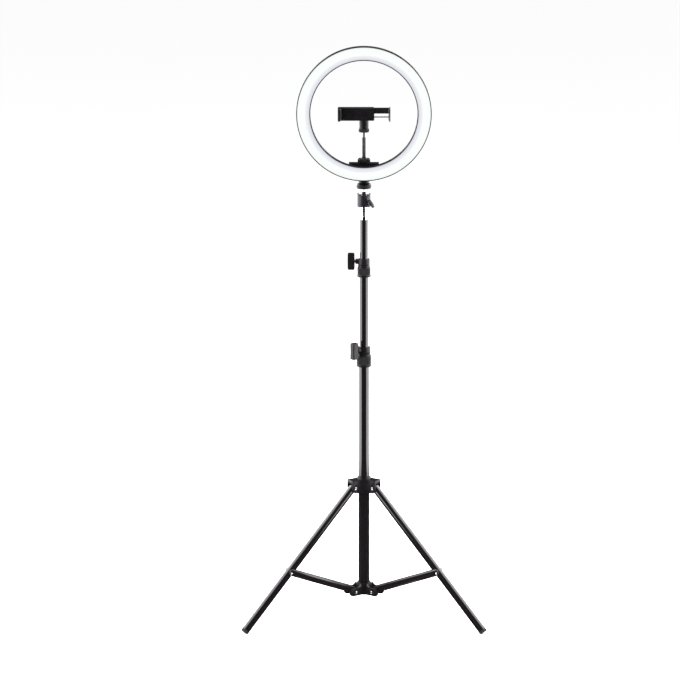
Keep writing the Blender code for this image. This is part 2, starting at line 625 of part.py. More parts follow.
def stay(side):
    """A pressed channel from the lower hub to the leg, and the rivets at its outer end."""
    arm = ARM_AXES[side]
    hinge = make_empty("stay_hinge_" + side, arm, STAY_PIVOT, (0, -STAY_RISE, 0))
    channel = place("stay_" + side, outline_mesh("stay", stay_outline(), STAY_OUTER_HALF), TUBE_PAINT,
                    hinge)
    past = STAY_LENGTH + BEYOND
    hollow = block_mesh("stay_hollow", (-BEYOND, -STAY_INNER_HALF, -BEYOND),
                        (past, STAY_INNER_HALF, STAY_WEB_UNDER))
    boolean(channel, place("stay_hollow_" + side, hollow, None, hinge))
    window = block_mesh("stay_window", (STAY_LENGTH - STAY_WEB_CUT, -STAY_INNER_HALF, 0),
                        (past, STAY_INNER_HALF, STAY_TOP + BEYOND))
    boolean(channel, place("stay_window_" + side, window, None, hinge))
    for at in (0, STAY_LENGTH):
        cut_rod(channel, f"stay_hole_{side}_{at > 0}", PIN_R + GAP, -BEYOND, BEYOND, "Y", hinge,
                (at, 0, 0))
    rivet = [(0, STAY_OUTER_HALF + GAP + PIN_HEAD), (PIN_HEAD_R, STAY_OUTER_HALF + GAP + PIN_HEAD),
             (PIN_HEAD_R, STAY_OUTER_HALF + GAP), (PIN_R, STAY_OUTER_HALF + GAP),
             (PIN_R, STAY_INNER_HALF), (0, STAY_INNER_HALF)]
    for name, turn in (("front", math.pi / 2), ("rear", -math.pi / 2)):
        turned(f"stay_rivet_{side}_{name}", rivet, NICKEL, hinge, (STAY_LENGTH, 0, 0), (turn, 0, 0),
               steps=PIN_STEPS)
    pin = rivet_profile(LOWER_OUTER_HALF + GAP)
    turned("stay_pin_" + side, pin, NICKEL, arm, STAY_PIVOT, (math.pi / 2, 0, 0), steps=PIN_STEPS)


# ---- Spigot and ball head ------------------------------------------------------------------------
def spigot(parent):
    """A chromed spigot in the top tube, with a rim and a threaded stud."""
    plug_r = TOP_TUBE_R - TUBE_WALL - GAP
    seat = TOP_TUBE_TOP + GAP
    top = CUP_FLOOR_Z - GAP
    profile = [(0, top + SPIGOT_STUD), (STUD_R, top + SPIGOT_STUD), (STUD_R, top), (SPIGOT_R, top),
               (SPIGOT_R, seat + SPIGOT_RIM_TALL), (SPIGOT_R + SPIGOT_RIM, seat + SPIGOT_RIM_TALL - PAST),
               (SPIGOT_R + SPIGOT_RIM, seat), (plug_r, seat), (plug_r, seat - SPIGOT_PLUG),
               (0, seat - SPIGOT_PLUG)]
    turned("spigot", profile, CHROME, parent)


def ball_cup(parent):
    """The cup that holds the ball: a retaining lip inside, and two ears with a notch between them."""
    seat_r = BALL_R + GAP + SEAT_WALL
    cavity = seat_r + GAP
    lip_under = CUP_LIP - CUP_LIP_THICK
    floor = CUP_FLOOR_Z - BALL_Z
    hole_end = floor + SPIGOT_STUD
    profile = [(CUP_R, CUP_EAR), (CUP_R, floor + CUP_CHAMFER), (CUP_R - CUP_CHAMFER, floor),
               (STUD_R + GAP, floor), (STUD_R + GAP, hole_end), (0, hole_end)]
    inside = [(0, -cavity), (cavity, -cavity), (cavity, lip_under),
              (math.sqrt(BALL_R ** 2 - lip_under ** 2) + GAP, lip_under),
              (math.sqrt(BALL_R ** 2 - CUP_LIP ** 2) + LIP_EASE, CUP_LIP), (cavity, CUP_LIP),
              (cavity, CUP_EAR)]
    cup = turned("ball_cup", inside + profile, DIE_CAST, parent)
    notch = block_mesh("cup_notch", (-CUP_NOTCH / 2, -2 * CUP_R, CUP_LIP + LIP_EASE),
                       (CUP_NOTCH / 2, 2 * CUP_R, CUP_EAR + PAST))
    boolean(cup, place("cup_notch", notch, None, parent))
    cut_rod(cup, "lever_hole", LEVER_SCREW_R + GAP, cavity - PAST, CUP_R + PAST, "X", parent,
            (0, 0, LEVER_Z - BALL_Z), (0, 0, LEVER_TURN))
    return cavity


def bowl(inner, outer, angles):
    """Profile of a bowl between two spheres about the origin, for angles that run down from its rim."""
    def ring(radius, angle):
        return (radius * math.cos(math.radians(angle)), radius * math.sin(math.radians(angle)))

    return ([(0, -inner)] + [ring(inner, angle) for angle in reversed(angles)]
            + [ring(outer, angle) for angle in angles] + [(0, -outer)])


def ball_seat(parent):
    """A nylon bowl under the ball."""
    inner = BALL_R + GAP
    turned("ball_seat", bowl(inner, inner + SEAT_WALL, (-28, -49, -70)), NYLON, parent,
           steps=SMALL_STEPS)


def wing_lever(parent, cavity):
    """The wing screw that squeezes the seat onto the ball."""
    hinge = make_empty("lever_axis", parent, (0, 0, LEVER_Z - BALL_Z), (0, 0, LEVER_TURN))
    axis = make_empty("lever_lean", hinge, rotation=(LEVER_LEAN, 0, 0))
    face = CUP_R + TURN_GAP
    wing = face + LEVER_HUB_LONG
    tip = LEVER_WING / 2
    outline = [(face, -LEVER_HUB_R), (wing, -LEVER_HUB_R), (wing + LEVER_WING_DEEP * 0.2, -tip),
               (wing + LEVER_WING_DEEP * 0.8, -tip), (wing + LEVER_WING_DEEP, 0),
               (wing + LEVER_WING_DEEP * 0.8, tip), (wing + LEVER_WING_DEEP * 0.2, tip),
               (wing, LEVER_HUB_R), (face, LEVER_HUB_R)]
    lever = place("ball_lever", outline_mesh("ball_lever", outline, LEVER_THICK / 2), DIE_CAST, axis)
    hub = rod_mesh("lever_hub", LEVER_HUB_R, face + GAP, wing + LEVER_WING_DEEP / 3, "X")
    boolean(lever, place("lever_hub", hub, None, axis), "UNION")
    screw_end = wing + LEVER_WING_DEEP / 4
    cut_rod(lever, "lever_socket", LEVER_SCREW_R + GAP, face - PAST, screw_end + GAP, "X", axis)
    screw = rod_mesh("ball_lever_screw", LEVER_SCREW_R, cavity + GAP, screw_end, "X")
    place("ball_lever_screw", screw, STEEL, axis)


def ball_stem(parent):
    """The ball, its waisted neck and the 1/4 inch stud, one turned piece."""
    top = STUD_TOP - BALL_Z
    ball = [(BALL_R * math.cos(math.radians(angle)), BALL_R * math.sin(math.radians(angle)))
            for angle in (69, 52, 34, 17, 0, -17, -34, -52, -70)]
    profile = [(0, top), (STUD_R, top), (STUD_R, STEM_THREAD_Z), (STEM_NECK_R, STEM_CONE_TOP_Z),
               (STEM_CONE_R, STEM_CONE_Z), (STEM_NECK_R, STEM_NECK_Z)] + ball + [(0, -BALL_R)]
    turned("ball_stem", profile, CHROME, parent, steps=SMALL_STEPS)


def lock_disc(parent):
    """The knurled disc on the stud that locks the lamp to the ball head."""
    low = DISC_Z - BALL_Z
    high = low + DISC_THICK
    profile = [(DISC_R - DISC_BEVEL, high), (DISC_R, high - DISC_BEVEL_TALL),
               (DISC_R, low + DISC_BEVEL_TALL), (DISC_R - DISC_UNDER_BEVEL, low),
               (STUD_R + GAP, low), (STUD_R + GAP, high)]
    turned("lock_disc", profile, ABS, parent, closed=True)


# ---- Ring ----------------------------------------------------------------------------------------
def rear_housing(parent, centre, rotation):
    """A moulded trough that is open to the front. Its rims show as dark lines round the diffuser."""
    rim = RING_DEPTH
    turn_in = RING_ROUND
    soft = RING_ROUND * 0.3
    outer = RING_OUTER_R
    inner = RING_INNER_R
    wall = RING_WALL
    profile = [(outer, rim), (outer, turn_in), (outer - soft, soft), (outer - turn_in, 0),
               (inner + turn_in, 0), (inner + soft, soft), (inner, turn_in), (inner, rim),
               (inner + wall, rim), (inner + wall, turn_in), (inner + turn_in, wall),
               (outer - turn_in, wall), (outer - wall, turn_in), (outer - wall, rim)]
    turned("rear_housing", profile, ABS, parent, centre, rotation, steps=RING_STEPS, closed=True)


def diffuser(parent, centre, rotation):
    """The opal cover, crowned towards the front, that sits between the housing's rims."""
    outer = RING_OUTER_R - RING_WALL - GAP
    inner = RING_INNER_R + RING_WALL + GAP
    quarter = (outer - inner) / 4
    front = RING_DEPTH
    back = RING_DEPTH - DIFFUSER_WALL
    profile = [(outer, front), (outer, back), (inner, back), (inner, front),
               (inner + quarter, front + DIFFUSER_CROWN), (outer - quarter, front + DIFFUSER_CROWN)]
    turned("diffuser", profile, OPAL, parent, centre, rotation, steps=RING_STEPS, closed=True)


def led_board(parent, centre, rotation):
    """The lamp's board, with its row of LEDs."""
    inset = RING_ROUND + BOARD_EASE
    low = RING_WALL + GAP
    high = low + BOARD_THICK
    middle = RING_OUTER_R - RING_BAND / 2
    profile = tube_profile(RING_OUTER_R - inset, RING_INNER_R + inset, low, high)
    board = turned("led_board", profile, BOARD, parent, centre, rotation, steps=BOARD_STEPS, closed=True)
    mesh = bpy.data.meshes.new("leds")
    shape = bmesh.new()
    for number in range(LED_COUNT):
        turn = Matrix.Rotation(math.tau * (number + 0.5) / LED_COUNT, 4, "Z")
        shift = Matrix.Translation((middle, 0, high - LED_SEAT + LED_TALL / 2))
        size = Matrix.Diagonal((LED_SIZE, LED_SIZE, LED_TALL + 2 * LED_SEAT, 1))
        bmesh.ops.create_cube(shape, size=1.0, matrix=turn @ shift @ size)
    shape.to_mesh(mesh)
    shape.free()
    boolean(board, place("leds", mesh, None, parent, centre, rotation), "UNION")


def cable_grommet(parent, centre):
    """The grommet where the lamp's lead leaves the housing's back."""
    middle = RING_OUTER_R - RING_BAND / 2
    spot = centre + Vector((middle * math.sin(-GROMMET_TURN), 0, -middle * math.cos(GROMMET_TURN)))
    profile = [(GROMMET_END_R, GROMMET_TALL), (GROMMET_NECK_R, GROMMET_FLANGE), (GROMMET_R, GROMMET_FLANGE),
               (GROMMET_R, GAP), (GROMMET_BORE_R, GAP), (GROMMET_BORE_R, GROMMET_TALL)]
    turned("cable_grommet", profile, RUBBER, parent, spot, (-math.pi / 2, 0, 0), steps=SMALL_STEPS,
           closed=True)


def mount_block(parent):
    """The bracket behind the ring: a conical neck under it and a flat top for the phone holder."""
    back = RING_BACK_Y + GAP
    low = DISC_TOP_Z + GAP - BALL_Z
    neck_top = RING_BOTTOM_Z - 2 * GAP - BALL_Z
    top = BLOCK_TOP_Z - BALL_Z
    shoulder = RING_BOTTOM_Z + BLOCK_SHOULDER - BALL_Z
    half = [(BLOCK_HALF, top), (BLOCK_HALF, top - BLOCK_SIDE), (NECK_HIGH_R + PAST, shoulder),
            (NECK_HIGH_R - PAST, neck_top - 2 * PAST)]
    outline = half + [(-across, up) for across, up in reversed(half)]
    mesh = outline_mesh("mount_block", outline, BLOCK_DEEP / 2)
    mesh.transform(Matrix.Translation((0, back + BLOCK_DEEP / 2, 0)))
    block = place("mount_block", mesh, ABS, parent)
    neck = rod_mesh("block_neck", NECK_LOW_R, low, neck_top, steps=TUBE_STEPS, high_radius=NECK_HIGH_R)
    boolean(block, place("block_neck", neck, None, parent), "UNION")
    cut_rod(block, "block_stud_hole", STUD_R + GAP, low - PAST, STUD_TOP + GAP - BALL_Z, "Z", parent)


# ---- Phone holder --------------------------------------------------------------------------------
def holder_foot(parent):
    """The holder's foot on the block, its post and the ball on top."""
    low = BLOCK_TOP_Z + GAP
    top = low + HOLDER_FOOT_TALL
    profile = [(HOLDER_DOME_TOP_R, top + HOLDER_DOME), (HOLDER_DOME_R, top),
               (HOLDER_FOOT_R - HOLDER_FOOT_BEVEL, top), (HOLDER_FOOT_R, top - HOLDER_FOOT_BEVEL),
               (HOLDER_FOOT_R, low + HOLDER_FOOT_BEVEL), (HOLDER_FOOT_R - HOLDER_FOOT_BEVEL, low),
               (STUD_R + GAP, low), (STUD_R + GAP, top + HOLDER_DOME)]
    turned("holder_foot", profile, ABS, parent, closed=True)

    post_low = low + POST_STUD_UP
    shoulder = top + HOLDER_DOME + GAP
    reduce = HOLDER_BALL_Z - HOLDER_BALL_R - POST_NECK_LONG
    ball = [(HOLDER_BALL_R * math.cos(math.radians(angle)),
             HOLDER_BALL_Z + HOLDER_BALL_R * math.sin(math.radians(angle)))
            for angle in (67, 45, 22, 0, -22, -45, -66)]
    profile = [(0, HOLDER_BALL_Z + HOLDER_BALL_R)] + ball
    profile += [(POST_NECK_R, HOLDER_BALL_Z - HOLDER_BALL_R - PAST), (POST_NECK_R, reduce),
                (POST_R, reduce - POST_TAPER), (POST_R, shoulder), (STUD_R, shoulder), (STUD_R, post_low),
                (0, post_low)]
    turned("holder_post", profile, STEEL, parent, steps=SMALL_STEPS)


def clamp_seat(parent):
    """A nylon cap over the holder's ball, inside the clamp's socket."""
    inner = HOLDER_BALL_R + GAP
    cap = [(radius, -height) for radius, height in bowl(inner, inner + CAP_WALL, (-35, -60))]
    turned("clamp_seat", list(reversed(cap)), NYLON, parent, steps=SMALL_STEPS)


def ball_nut(parent):
    """The ring nut that draws the clamp onto its ball."""
    top = -GAP
    low = top - NUT_TALL
    outer = SOCKET_R - GAP
    throat = HOLDER_BALL_R + HOLDER_CLEAR - GAP
    profile = [(outer, top), (outer, low + PAST), (outer - PAST, low), (NUT_THROAT_R, low),
               (NUT_THROAT_R, low + PAST), (throat, low + 3 * PAST), (throat, top)]
    turned("ball_nut", profile, ABS, parent, closed=True)


def clamp_levels():
    """Front, back, bottom, top and middle of the clamp's body, from the centre of the holder's ball."""
    front = CLAMP_FRONT_Y - HOLDER_Y
    middle = CLAMP_Z - HOLDER_BALL_Z
    return front, front + CLAMP_DEEP, middle - CLAMP_TALL / 2, middle + CLAMP_TALL / 2, middle


def jaw_pad(name, low_x, parent):
    """A rubber pad on a jaw's gripping face."""
    front, back, low, high, middle = clamp_levels()
    mesh = block_mesh(name, (low_x, front - JAW_REACH + PAD_INSET, low + PAD_INSET),
                      (low_x + PAD_THICK, front - PAST, high - PAD_INSET))
    round_edges(place(name, mesh, RUBBER, parent), PAD_ROUND, 1)


def clamp_back(parent):
    """The clamp's body: a rest face behind the phone, the fixed jaw and the ball socket."""
    front, back, low, high, middle = clamp_levels()
    jaw_in = JAW_LEFT_X - PAD_THICK - GAP
    body = place("clamp_back", block_mesh("clamp_back", (jaw_in - FIXED_JAW_THICK, front, low),
                                          (CLAMP_END_X, back, high)), ABS, parent)
    round_edges(body, CLAMP_ROUND, 1)
    jaw = block_mesh("fixed_jaw", (jaw_in - FIXED_JAW_THICK, front - JAW_REACH, low + GAP),
                     (jaw_in, back - PAD_INSET, high - GAP))
    jaw_piece = place("fixed_jaw", jaw, None, parent)
    round_edges(jaw_piece, JAW_ROUND, 2)
    boolean(body, jaw_piece, "UNION")
    relief = block_mesh("jaw_relief", (jaw_in, front - PAST, low - PAST),
                        (JAW_LEFT_X + 2 * GAP, front + JAW_RELIEF, high + PAST))
    boolean(body, place("jaw_relief", relief, None, parent))
    socket = rod_mesh("clamp_socket", SOCKET_R - PAST, 0, low + SOCKET_DEEP, steps=TUBE_STEPS)
    boolean(body, place("clamp_socket", socket, None, parent), "UNION")
    hollow = rod_mesh("socket_hollow", HOLDER_BALL_R + HOLDER_CLEAR, -PAST,
                      HOLDER_BALL_R + HOLDER_CLEAR + GAP)
    boolean(body, place("socket_hollow", hollow, None, parent))
    bar_y = front + BAR_INSET
    bar_z = middle + BAR_RAISE
    pocket = block_mesh("bar_pocket", (POCKET_X, bar_y, bar_z),
                        (CLAMP_END_X + PAST, bar_y + BAR_DEEP + 2 * GAP, bar_z + BAR_TALL + 2 * GAP))
    boolean(body, place("bar_pocket", pocket, None, parent))
    cut_rod(body, "spring_bore", SPRING_R + SPRING_WIRE_R + GAP, POCKET_X - 2 * PAST,
            CLAMP_END_X + PAST, "X", parent, (0, front + ROD_INSET, middle - ROD_DROP))
    jaw_pad("fixed_jaw_pad", JAW_LEFT_X - PAD_THICK, parent)


def return_spring(parent):
    """The coil spring round the guide rod, inside the clamp's body."""
    front, back, low, high, middle = clamp_levels()
    rod_y = front + ROD_INSET
    rod_z = middle - ROD_DROP
    start = POCKET_X
    end = CLAMP_END_X - 3 * PAST
    sides = 8
    curve = bpy.data.curves.new("return_spring", "CURVE")
    curve.dimensions = "3D"
    curve.bevel_depth = SPRING_WIRE_R
    curve.bevel_resolution = 1
    curve.use_fill_caps = True
    spline = curve.splines.new("POLY")
    count = SPRING_TURNS * sides
    spline.points.add(count)
    for number, point in enumerate(spline.points):
        turn = math.tau * number / sides
        along = start + (end - start) * number / count
        point.co = (along, rod_y + SPRING_R * math.cos(turn), rod_z + SPRING_R * math.sin(turn), 1)
    sketch = bpy.data.objects.new("spring_sketch", curve)
    CUTTERS.objects.link(sketch)
    mesh = bpy.data.meshes.new_from_object(sketch.evaluated_get(bpy.context.evaluated_depsgraph_get()))
    bpy.data.objects.remove(sketch, do_unlink=True)
    shape = bmesh.new()
    shape.from_mesh(mesh)
    bmesh.ops.remove_doubles(shape, verts=shape.verts, dist=0.00001)
    bmesh.ops.recalc_face_normals(shape, faces=shape.faces)
    shape.to_mesh(mesh)
    shape.free()
    place("return_spring", mesh, STEEL, parent)


def sliding_jaw(parent):
    """The moving jaw with its flat bar, the guide rod beside it and the rubber pad."""
    front, back, low, high, middle = clamp_levels()
    slide = make_empty("jaw_slide_axis", parent)
    face = JAW_RIGHT_X + PAD_THICK + GAP
    jaw = place("sliding_jaw", block_mesh("sliding_jaw", (face, front - JAW_REACH, low),
                                          (face + SLIDING_JAW_THICK, back, high)), ABS, slide)
    round_edges(jaw, SLIDING_JAW_ROUND, 2)
    bar_low = Vector((BAR_INNER_X, front + BAR_INSET + GAP, middle + BAR_RAISE + GAP))
    bar = block_mesh("jaw_bar", bar_low, bar_low + Vector((face + PAST - BAR_INNER_X, BAR_DEEP, BAR_TALL)))
    boolean(jaw, place("jaw_bar", bar, None, slide), "UNION")
    place("guide_rod", rod_mesh("guide_rod", ROD_R, BAR_INNER_X, face - GAP, "X", steps=8), STEEL, slide,
          (0, front + ROD_INSET, middle - ROD_DROP))
    jaw_pad("sliding_jaw_pad", JAW_RIGHT_X, slide)


# ---- Build ---------------------------------------------------------------------------------------
clear_scene()
PARTS = make_collection("ring_light")
CUTTERS = make_collection("cutters")

TUBE_PAINT = make_material("gloss_black_paint", (0.012, 0.011, 0.012), 0.22)
ABS = make_material("black_abs", (0.018, 0.018, 0.020), 0.45)
DIE_CAST = make_material("black_die_cast", (0.016, 0.015, 0.020), 0.40)
CHROME = make_material("chrome", (0.62, 0.62, 0.64), 0.08, 1.0)
NICKEL = make_material("nickel_rivet", (0.60, 0.60, 0.58), 0.25, 1.0)
STEEL = make_material("zinc_steel", (0.45, 0.45, 0.46), 0.35, 1.0)
NYLON = make_material("nylon", (0.55, 0.55, 0.52), 0.50)
RUBBER = make_material("black_rubber", (0.014, 0.014, 0.015), 0.75)
OPAL = make_material("opal_acrylic", (0.90, 0.91, 0.92), 0.40)
BOARD = make_material("white_board", (0.75, 0.76, 0.74), 0.50)

STAND = make_empty("stand_axis", location=(0, AXIS_Y, 0))
ARM_AXES = {side: make_empty("arm_" + side, STAND, rotation=(0, 0, turn)) for side, turn in ARMS.items()}

column_tube("lower_tube", LOWER_TUBE_R, LOWER_WALL, LOWER_TUBE_FOOT, LOWER_TUBE_TOP, STAND)
end_plug("column_plug", LOWER_TUBE_R, LOWER_WALL, LOWER_TUBE_FOOT, STAND)
lower_hub(STAND)
lower_screw_z, lower_boss_end = clamp_collar("lower_collar", LOWER_TUBE_R, MIDDLE_TUBE_R, LOWER_TUBE_TOP,
                                             LOWER_COLLAR_BELOW, LOWER_KNOB_TURN, STAND)
tee_knob("lower_knob", MIDDLE_TUBE_R, lower_screw_z, lower_boss_end, LOWER_KNOB_TURN, STAND)

hub_lock(STAND, upper_hub(STAND))
for arm_side in ARMS:
    leg(arm_side)
    stay(arm_side)

MIDDLE = make_empty("middle_axis", STAND)
column_tube("middle_tube", MIDDLE_TUBE_R, TUBE_WALL, MIDDLE_TUBE_FOOT, MIDDLE_TUBE_TOP, MIDDLE)
end_plug("middle_plug", MIDDLE_TUBE_R, TUBE_WALL, MIDDLE_TUBE_FOOT, MIDDLE)
upper_screw_z, upper_boss_end = clamp_collar("upper_collar", MIDDLE_TUBE_R, TOP_TUBE_R, MIDDLE_TUBE_TOP,
                                             UPPER_COLLAR_BELOW, UPPER_KNOB_TURN, MIDDLE)
tee_knob("upper_knob", TOP_TUBE_R, upper_screw_z, upper_boss_end, UPPER_KNOB_TURN, MIDDLE)

TOP = make_empty("top_axis", MIDDLE)
column_tube("top_tube", TOP_TUBE_R, TUBE_WALL, TOP_TUBE_FOOT, TOP_TUBE_TOP, TOP)
end_plug("top_plug", TOP_TUBE_R, TUBE_WALL, TOP_TUBE_FOOT, TOP)
spigot(TOP)

BALL = make_empty("ball_centre", TOP, (0, 0, BALL_Z))
wing_lever(BALL, ball_cup(BALL))
ball_seat(BALL)
ball_stem(BALL)
lock_disc(BALL)

RING_CENTRE = Vector((0, RING_BACK_Y, RING_Z - BALL_Z))
FACE_FRONT = (math.pi / 2, 0, 0)
rear_housing(BALL, RING_CENTRE, FACE_FRONT)
diffuser(BALL, RING_CENTRE, FACE_FRONT)
led_board(BALL, RING_CENTRE, FACE_FRONT)
cable_grommet(BALL, RING_CENTRE)
mount_block(BALL)

HOLDER = make_empty("holder_axis", BALL, (0, HOLDER_Y, -BALL_Z))
holder_foot(HOLDER)
CLAMP = make_empty("clamp_ball", HOLDER, (0, 0, HOLDER_BALL_Z))
clamp_seat(CLAMP)
ball_nut(CLAMP)
clamp_back(CLAMP)
return_spring(CLAMP)
sliding_jaw(CLAMP)
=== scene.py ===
"""Looks for a ring light on a folding stand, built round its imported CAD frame.

Metres, +Z up, and the lamp shines towards -Y. The sections follow the object as it is put together,
from the stand's feet up to the phone holder inside the ring.
"""

import json
import math

import bmesh
import bpy
from mathutils import Matrix, Vector


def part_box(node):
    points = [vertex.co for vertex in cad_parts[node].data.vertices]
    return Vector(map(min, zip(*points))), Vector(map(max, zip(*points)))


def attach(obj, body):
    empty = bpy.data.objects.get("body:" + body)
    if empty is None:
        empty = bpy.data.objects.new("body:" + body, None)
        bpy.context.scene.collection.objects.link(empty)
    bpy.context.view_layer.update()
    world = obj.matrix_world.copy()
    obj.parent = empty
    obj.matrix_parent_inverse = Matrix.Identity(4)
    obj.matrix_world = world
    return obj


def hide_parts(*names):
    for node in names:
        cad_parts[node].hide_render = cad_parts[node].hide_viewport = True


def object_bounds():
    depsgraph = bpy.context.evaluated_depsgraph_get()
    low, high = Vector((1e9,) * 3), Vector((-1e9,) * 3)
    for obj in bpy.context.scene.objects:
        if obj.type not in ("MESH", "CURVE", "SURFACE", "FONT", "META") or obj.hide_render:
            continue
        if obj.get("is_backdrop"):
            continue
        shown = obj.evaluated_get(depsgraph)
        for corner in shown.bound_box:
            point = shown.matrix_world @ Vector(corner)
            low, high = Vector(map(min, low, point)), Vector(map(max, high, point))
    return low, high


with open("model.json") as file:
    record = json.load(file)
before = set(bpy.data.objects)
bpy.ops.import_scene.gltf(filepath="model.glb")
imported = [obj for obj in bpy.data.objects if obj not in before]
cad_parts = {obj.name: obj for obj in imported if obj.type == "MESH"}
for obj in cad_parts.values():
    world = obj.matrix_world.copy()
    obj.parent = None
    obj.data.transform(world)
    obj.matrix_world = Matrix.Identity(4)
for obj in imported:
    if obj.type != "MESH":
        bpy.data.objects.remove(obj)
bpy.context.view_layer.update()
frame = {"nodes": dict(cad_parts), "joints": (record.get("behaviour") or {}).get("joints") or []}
nodes = frame["nodes"]
joints = {joint["name"]: joint for joint in frame["joints"]}

# ---- Camera and studio ----
# A long lens, a little above the lamp and tilted down. The column's axis is the centre of its tube.
# The floor is a pale paper sweep. Two tall softboxes stand at the sides, so that round gloss parts
# show a black core between two light bands, and a smaller one overhead draws the top edges.
tube_low, tube_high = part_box("lower_tube")
AXIS = Vector((0, (tube_low.y + tube_high.y) / 2, 0))
CAMERA_BACK = 6.5
CAMERA_HEIGHT = 1.95
CAMERA_DOWN = math.radians(12.1)
CAMERA_SHIFT = -0.0352
CAMERA_SEES = 100
FOCAL_PER_SENSOR = 5.009
SENSOR_MM = 36


def linear(code):
    """An sRGB hex colour as the linear values that the shaders take."""
    parts = [int(code[i:i + 2], 16) / 255 for i in (1, 3, 5)]
    return [p / 12.92 if p <= 0.04045 else ((p + 0.055) / 1.055) ** 2.4 for p in parts] + [1.0]


def add(tree, kind, links=None, **settings):
    """Adds a node, sets its properties, and sets or links its inputs by name or number."""
    made = tree.nodes.new(kind)
    for name, value in settings.items():
        setattr(made, name, value)
    for name, value in (links or {}).items():
        if isinstance(value, bpy.types.NodeSocket):
            tree.links.new(value, made.inputs[name])
        else:
            made.inputs[name].default_value = value
    return made


camera = bpy.data.objects.new("camera", bpy.data.cameras.new("camera"))
camera.data.sensor_width = SENSOR_MM
camera.data.lens = SENSOR_MM * FOCAL_PER_SENSOR
camera.data.shift_x = CAMERA_SHIFT
camera.data.clip_end = CAMERA_SEES
camera.location = AXIS + Vector((0, -CAMERA_BACK, CAMERA_HEIGHT))
camera.rotation_euler = (math.pi / 2 - CAMERA_DOWN, 0, 0)
bpy.context.scene.collection.objects.link(camera)
bpy.context.scene.camera = camera
bpy.context.scene.view_settings.view_transform = "Standard"

BACKDROP_STRENGTH = 1.05
DARK_ROOM_STRENGTH = 1.0
world = bpy.data.worlds.new("studio")
world.use_nodes = True
bpy.context.scene.world = world
backdrop = world.node_tree.nodes["Background"]
backdrop.inputs["Color"].default_value = linear("#FFFFFF")
backdrop.inputs["Strength"].default_value = BACKDROP_STRENGTH
seen = add(world.node_tree, "ShaderNodeLightPath")
dark_room = add(world.node_tree, "ShaderNodeBackground",
                {"Color": linear("#4A4448"), "Strength": DARK_ROOM_STRENGTH})
chosen = add(world.node_tree, "ShaderNodeMixShader", {0: seen.outputs["Is Glossy Ray"],
                                                      1: backdrop.outputs[0], 2: dark_room.outputs[0]})
world.node_tree.links.new(chosen.outputs[0], world.node_tree.nodes["World Output"].inputs["Surface"])

SOFTBOX_AWAY = 0.95
SOFTBOX_WIDE = 3.6
SOFTBOX_BACK = 0.95
SOFTBOX_TALL = 2.0
SOFTBOX_LIFT = 0.03
SOFTBOX_WATTS = 140
OVERHEAD_SIZE = 1.6
OVERHEAD_UP = 2.6
OVERHEAD_WATTS = 55


def softbox(wide, tall, watts, at, turn):
    """A rectangular area light that the camera itself doesn't see."""
    panel = bpy.data.lights.new("softbox", "AREA")
    panel.shape = "RECTANGLE"
    panel.size = wide
    panel.size_y = tall
    panel.energy = watts
    box = bpy.data.objects.new("softbox", panel)
    box.location = AXIS + Vector(at)
    box.rotation_euler = turn
    box.visible_camera = False
    bpy.context.scene.collection.objects.link(box)


for side in (-1, 1):
    softbox(SOFTBOX_WIDE, SOFTBOX_TALL, SOFTBOX_WATTS,
            (side * SOFTBOX_AWAY, SOFTBOX_BACK, SOFTBOX_LIFT + SOFTBOX_TALL / 2),
            (math.pi / 2, 0, side * math.pi / 2))
softbox(OVERHEAD_SIZE, OVERHEAD_SIZE, OVERHEAD_WATTS, (0, 0, OVERHEAD_UP), (0, 0, 0))

PAPER_HALF = 30
PAPER_UNDER = 0.0004
paper = bpy.data.materials.new("white_paper_sweep")
paper.use_nodes = True
tree = paper.node_tree
paths = add(tree, "ShaderNodeLightPath")
lit = tree.nodes["Principled BSDF"]
lit.inputs["Base Color"].default_value = linear("#F6F6F6")
lit.inputs["Roughness"].default_value = 0.9
lit.inputs["Specular IOR Level"].default_value = 0.0
dim = add(tree, "ShaderNodeBsdfDiffuse", {"Color": linear("#2A2A2C")})
mixed = add(tree, "ShaderNodeMixShader", {0: paths.outputs["Is Glossy Ray"], 1: lit.outputs[0],
                                          2: dim.outputs[0]})
tree.links.new(mixed.outputs[0], tree.nodes["Material Output"].inputs["Surface"])
sweep = bpy.data.meshes.new("floor")
sweep.from_pydata([(x * PAPER_HALF, y * PAPER_HALF, -PAPER_UNDER)
                   for x, y in ((-1, -1), (1, -1), (1, 1), (-1, 1))], [], [(0, 1, 2, 3)])
sweep.materials.append(paper)
floor = bpy.data.objects.new("floor", sweep)
bpy.context.scene.collection.objects.link(floor)
floor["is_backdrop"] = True

# ---- Column tubes ----
# Three welded steel tubes that slide in each other, with rolled ends. They are sprayed gloss black
# enamel over primer: a deep black with a soft orange peel about 2 mm across and a few fine rub marks
# that run along the tube, where the next one slides.
MM = 0.001
TUBE_EDGE = 0.4 * MM


def surface(name, colour, roughness, metallic=0.0, also=None):
    """A new material, with its values that are the same all over. also names further sockets."""
    made = bpy.data.materials.new(name)
    made.use_nodes = True
    shader = made.node_tree.nodes["Principled BSDF"]
    shader.inputs["Base Color"].default_value = linear(colour)
    shader.inputs["Roughness"].default_value = roughness
    shader.inputs["Metallic"].default_value = metallic
    for socket, value in (also or {}).items():
        shader.inputs[socket].default_value = value
    return made


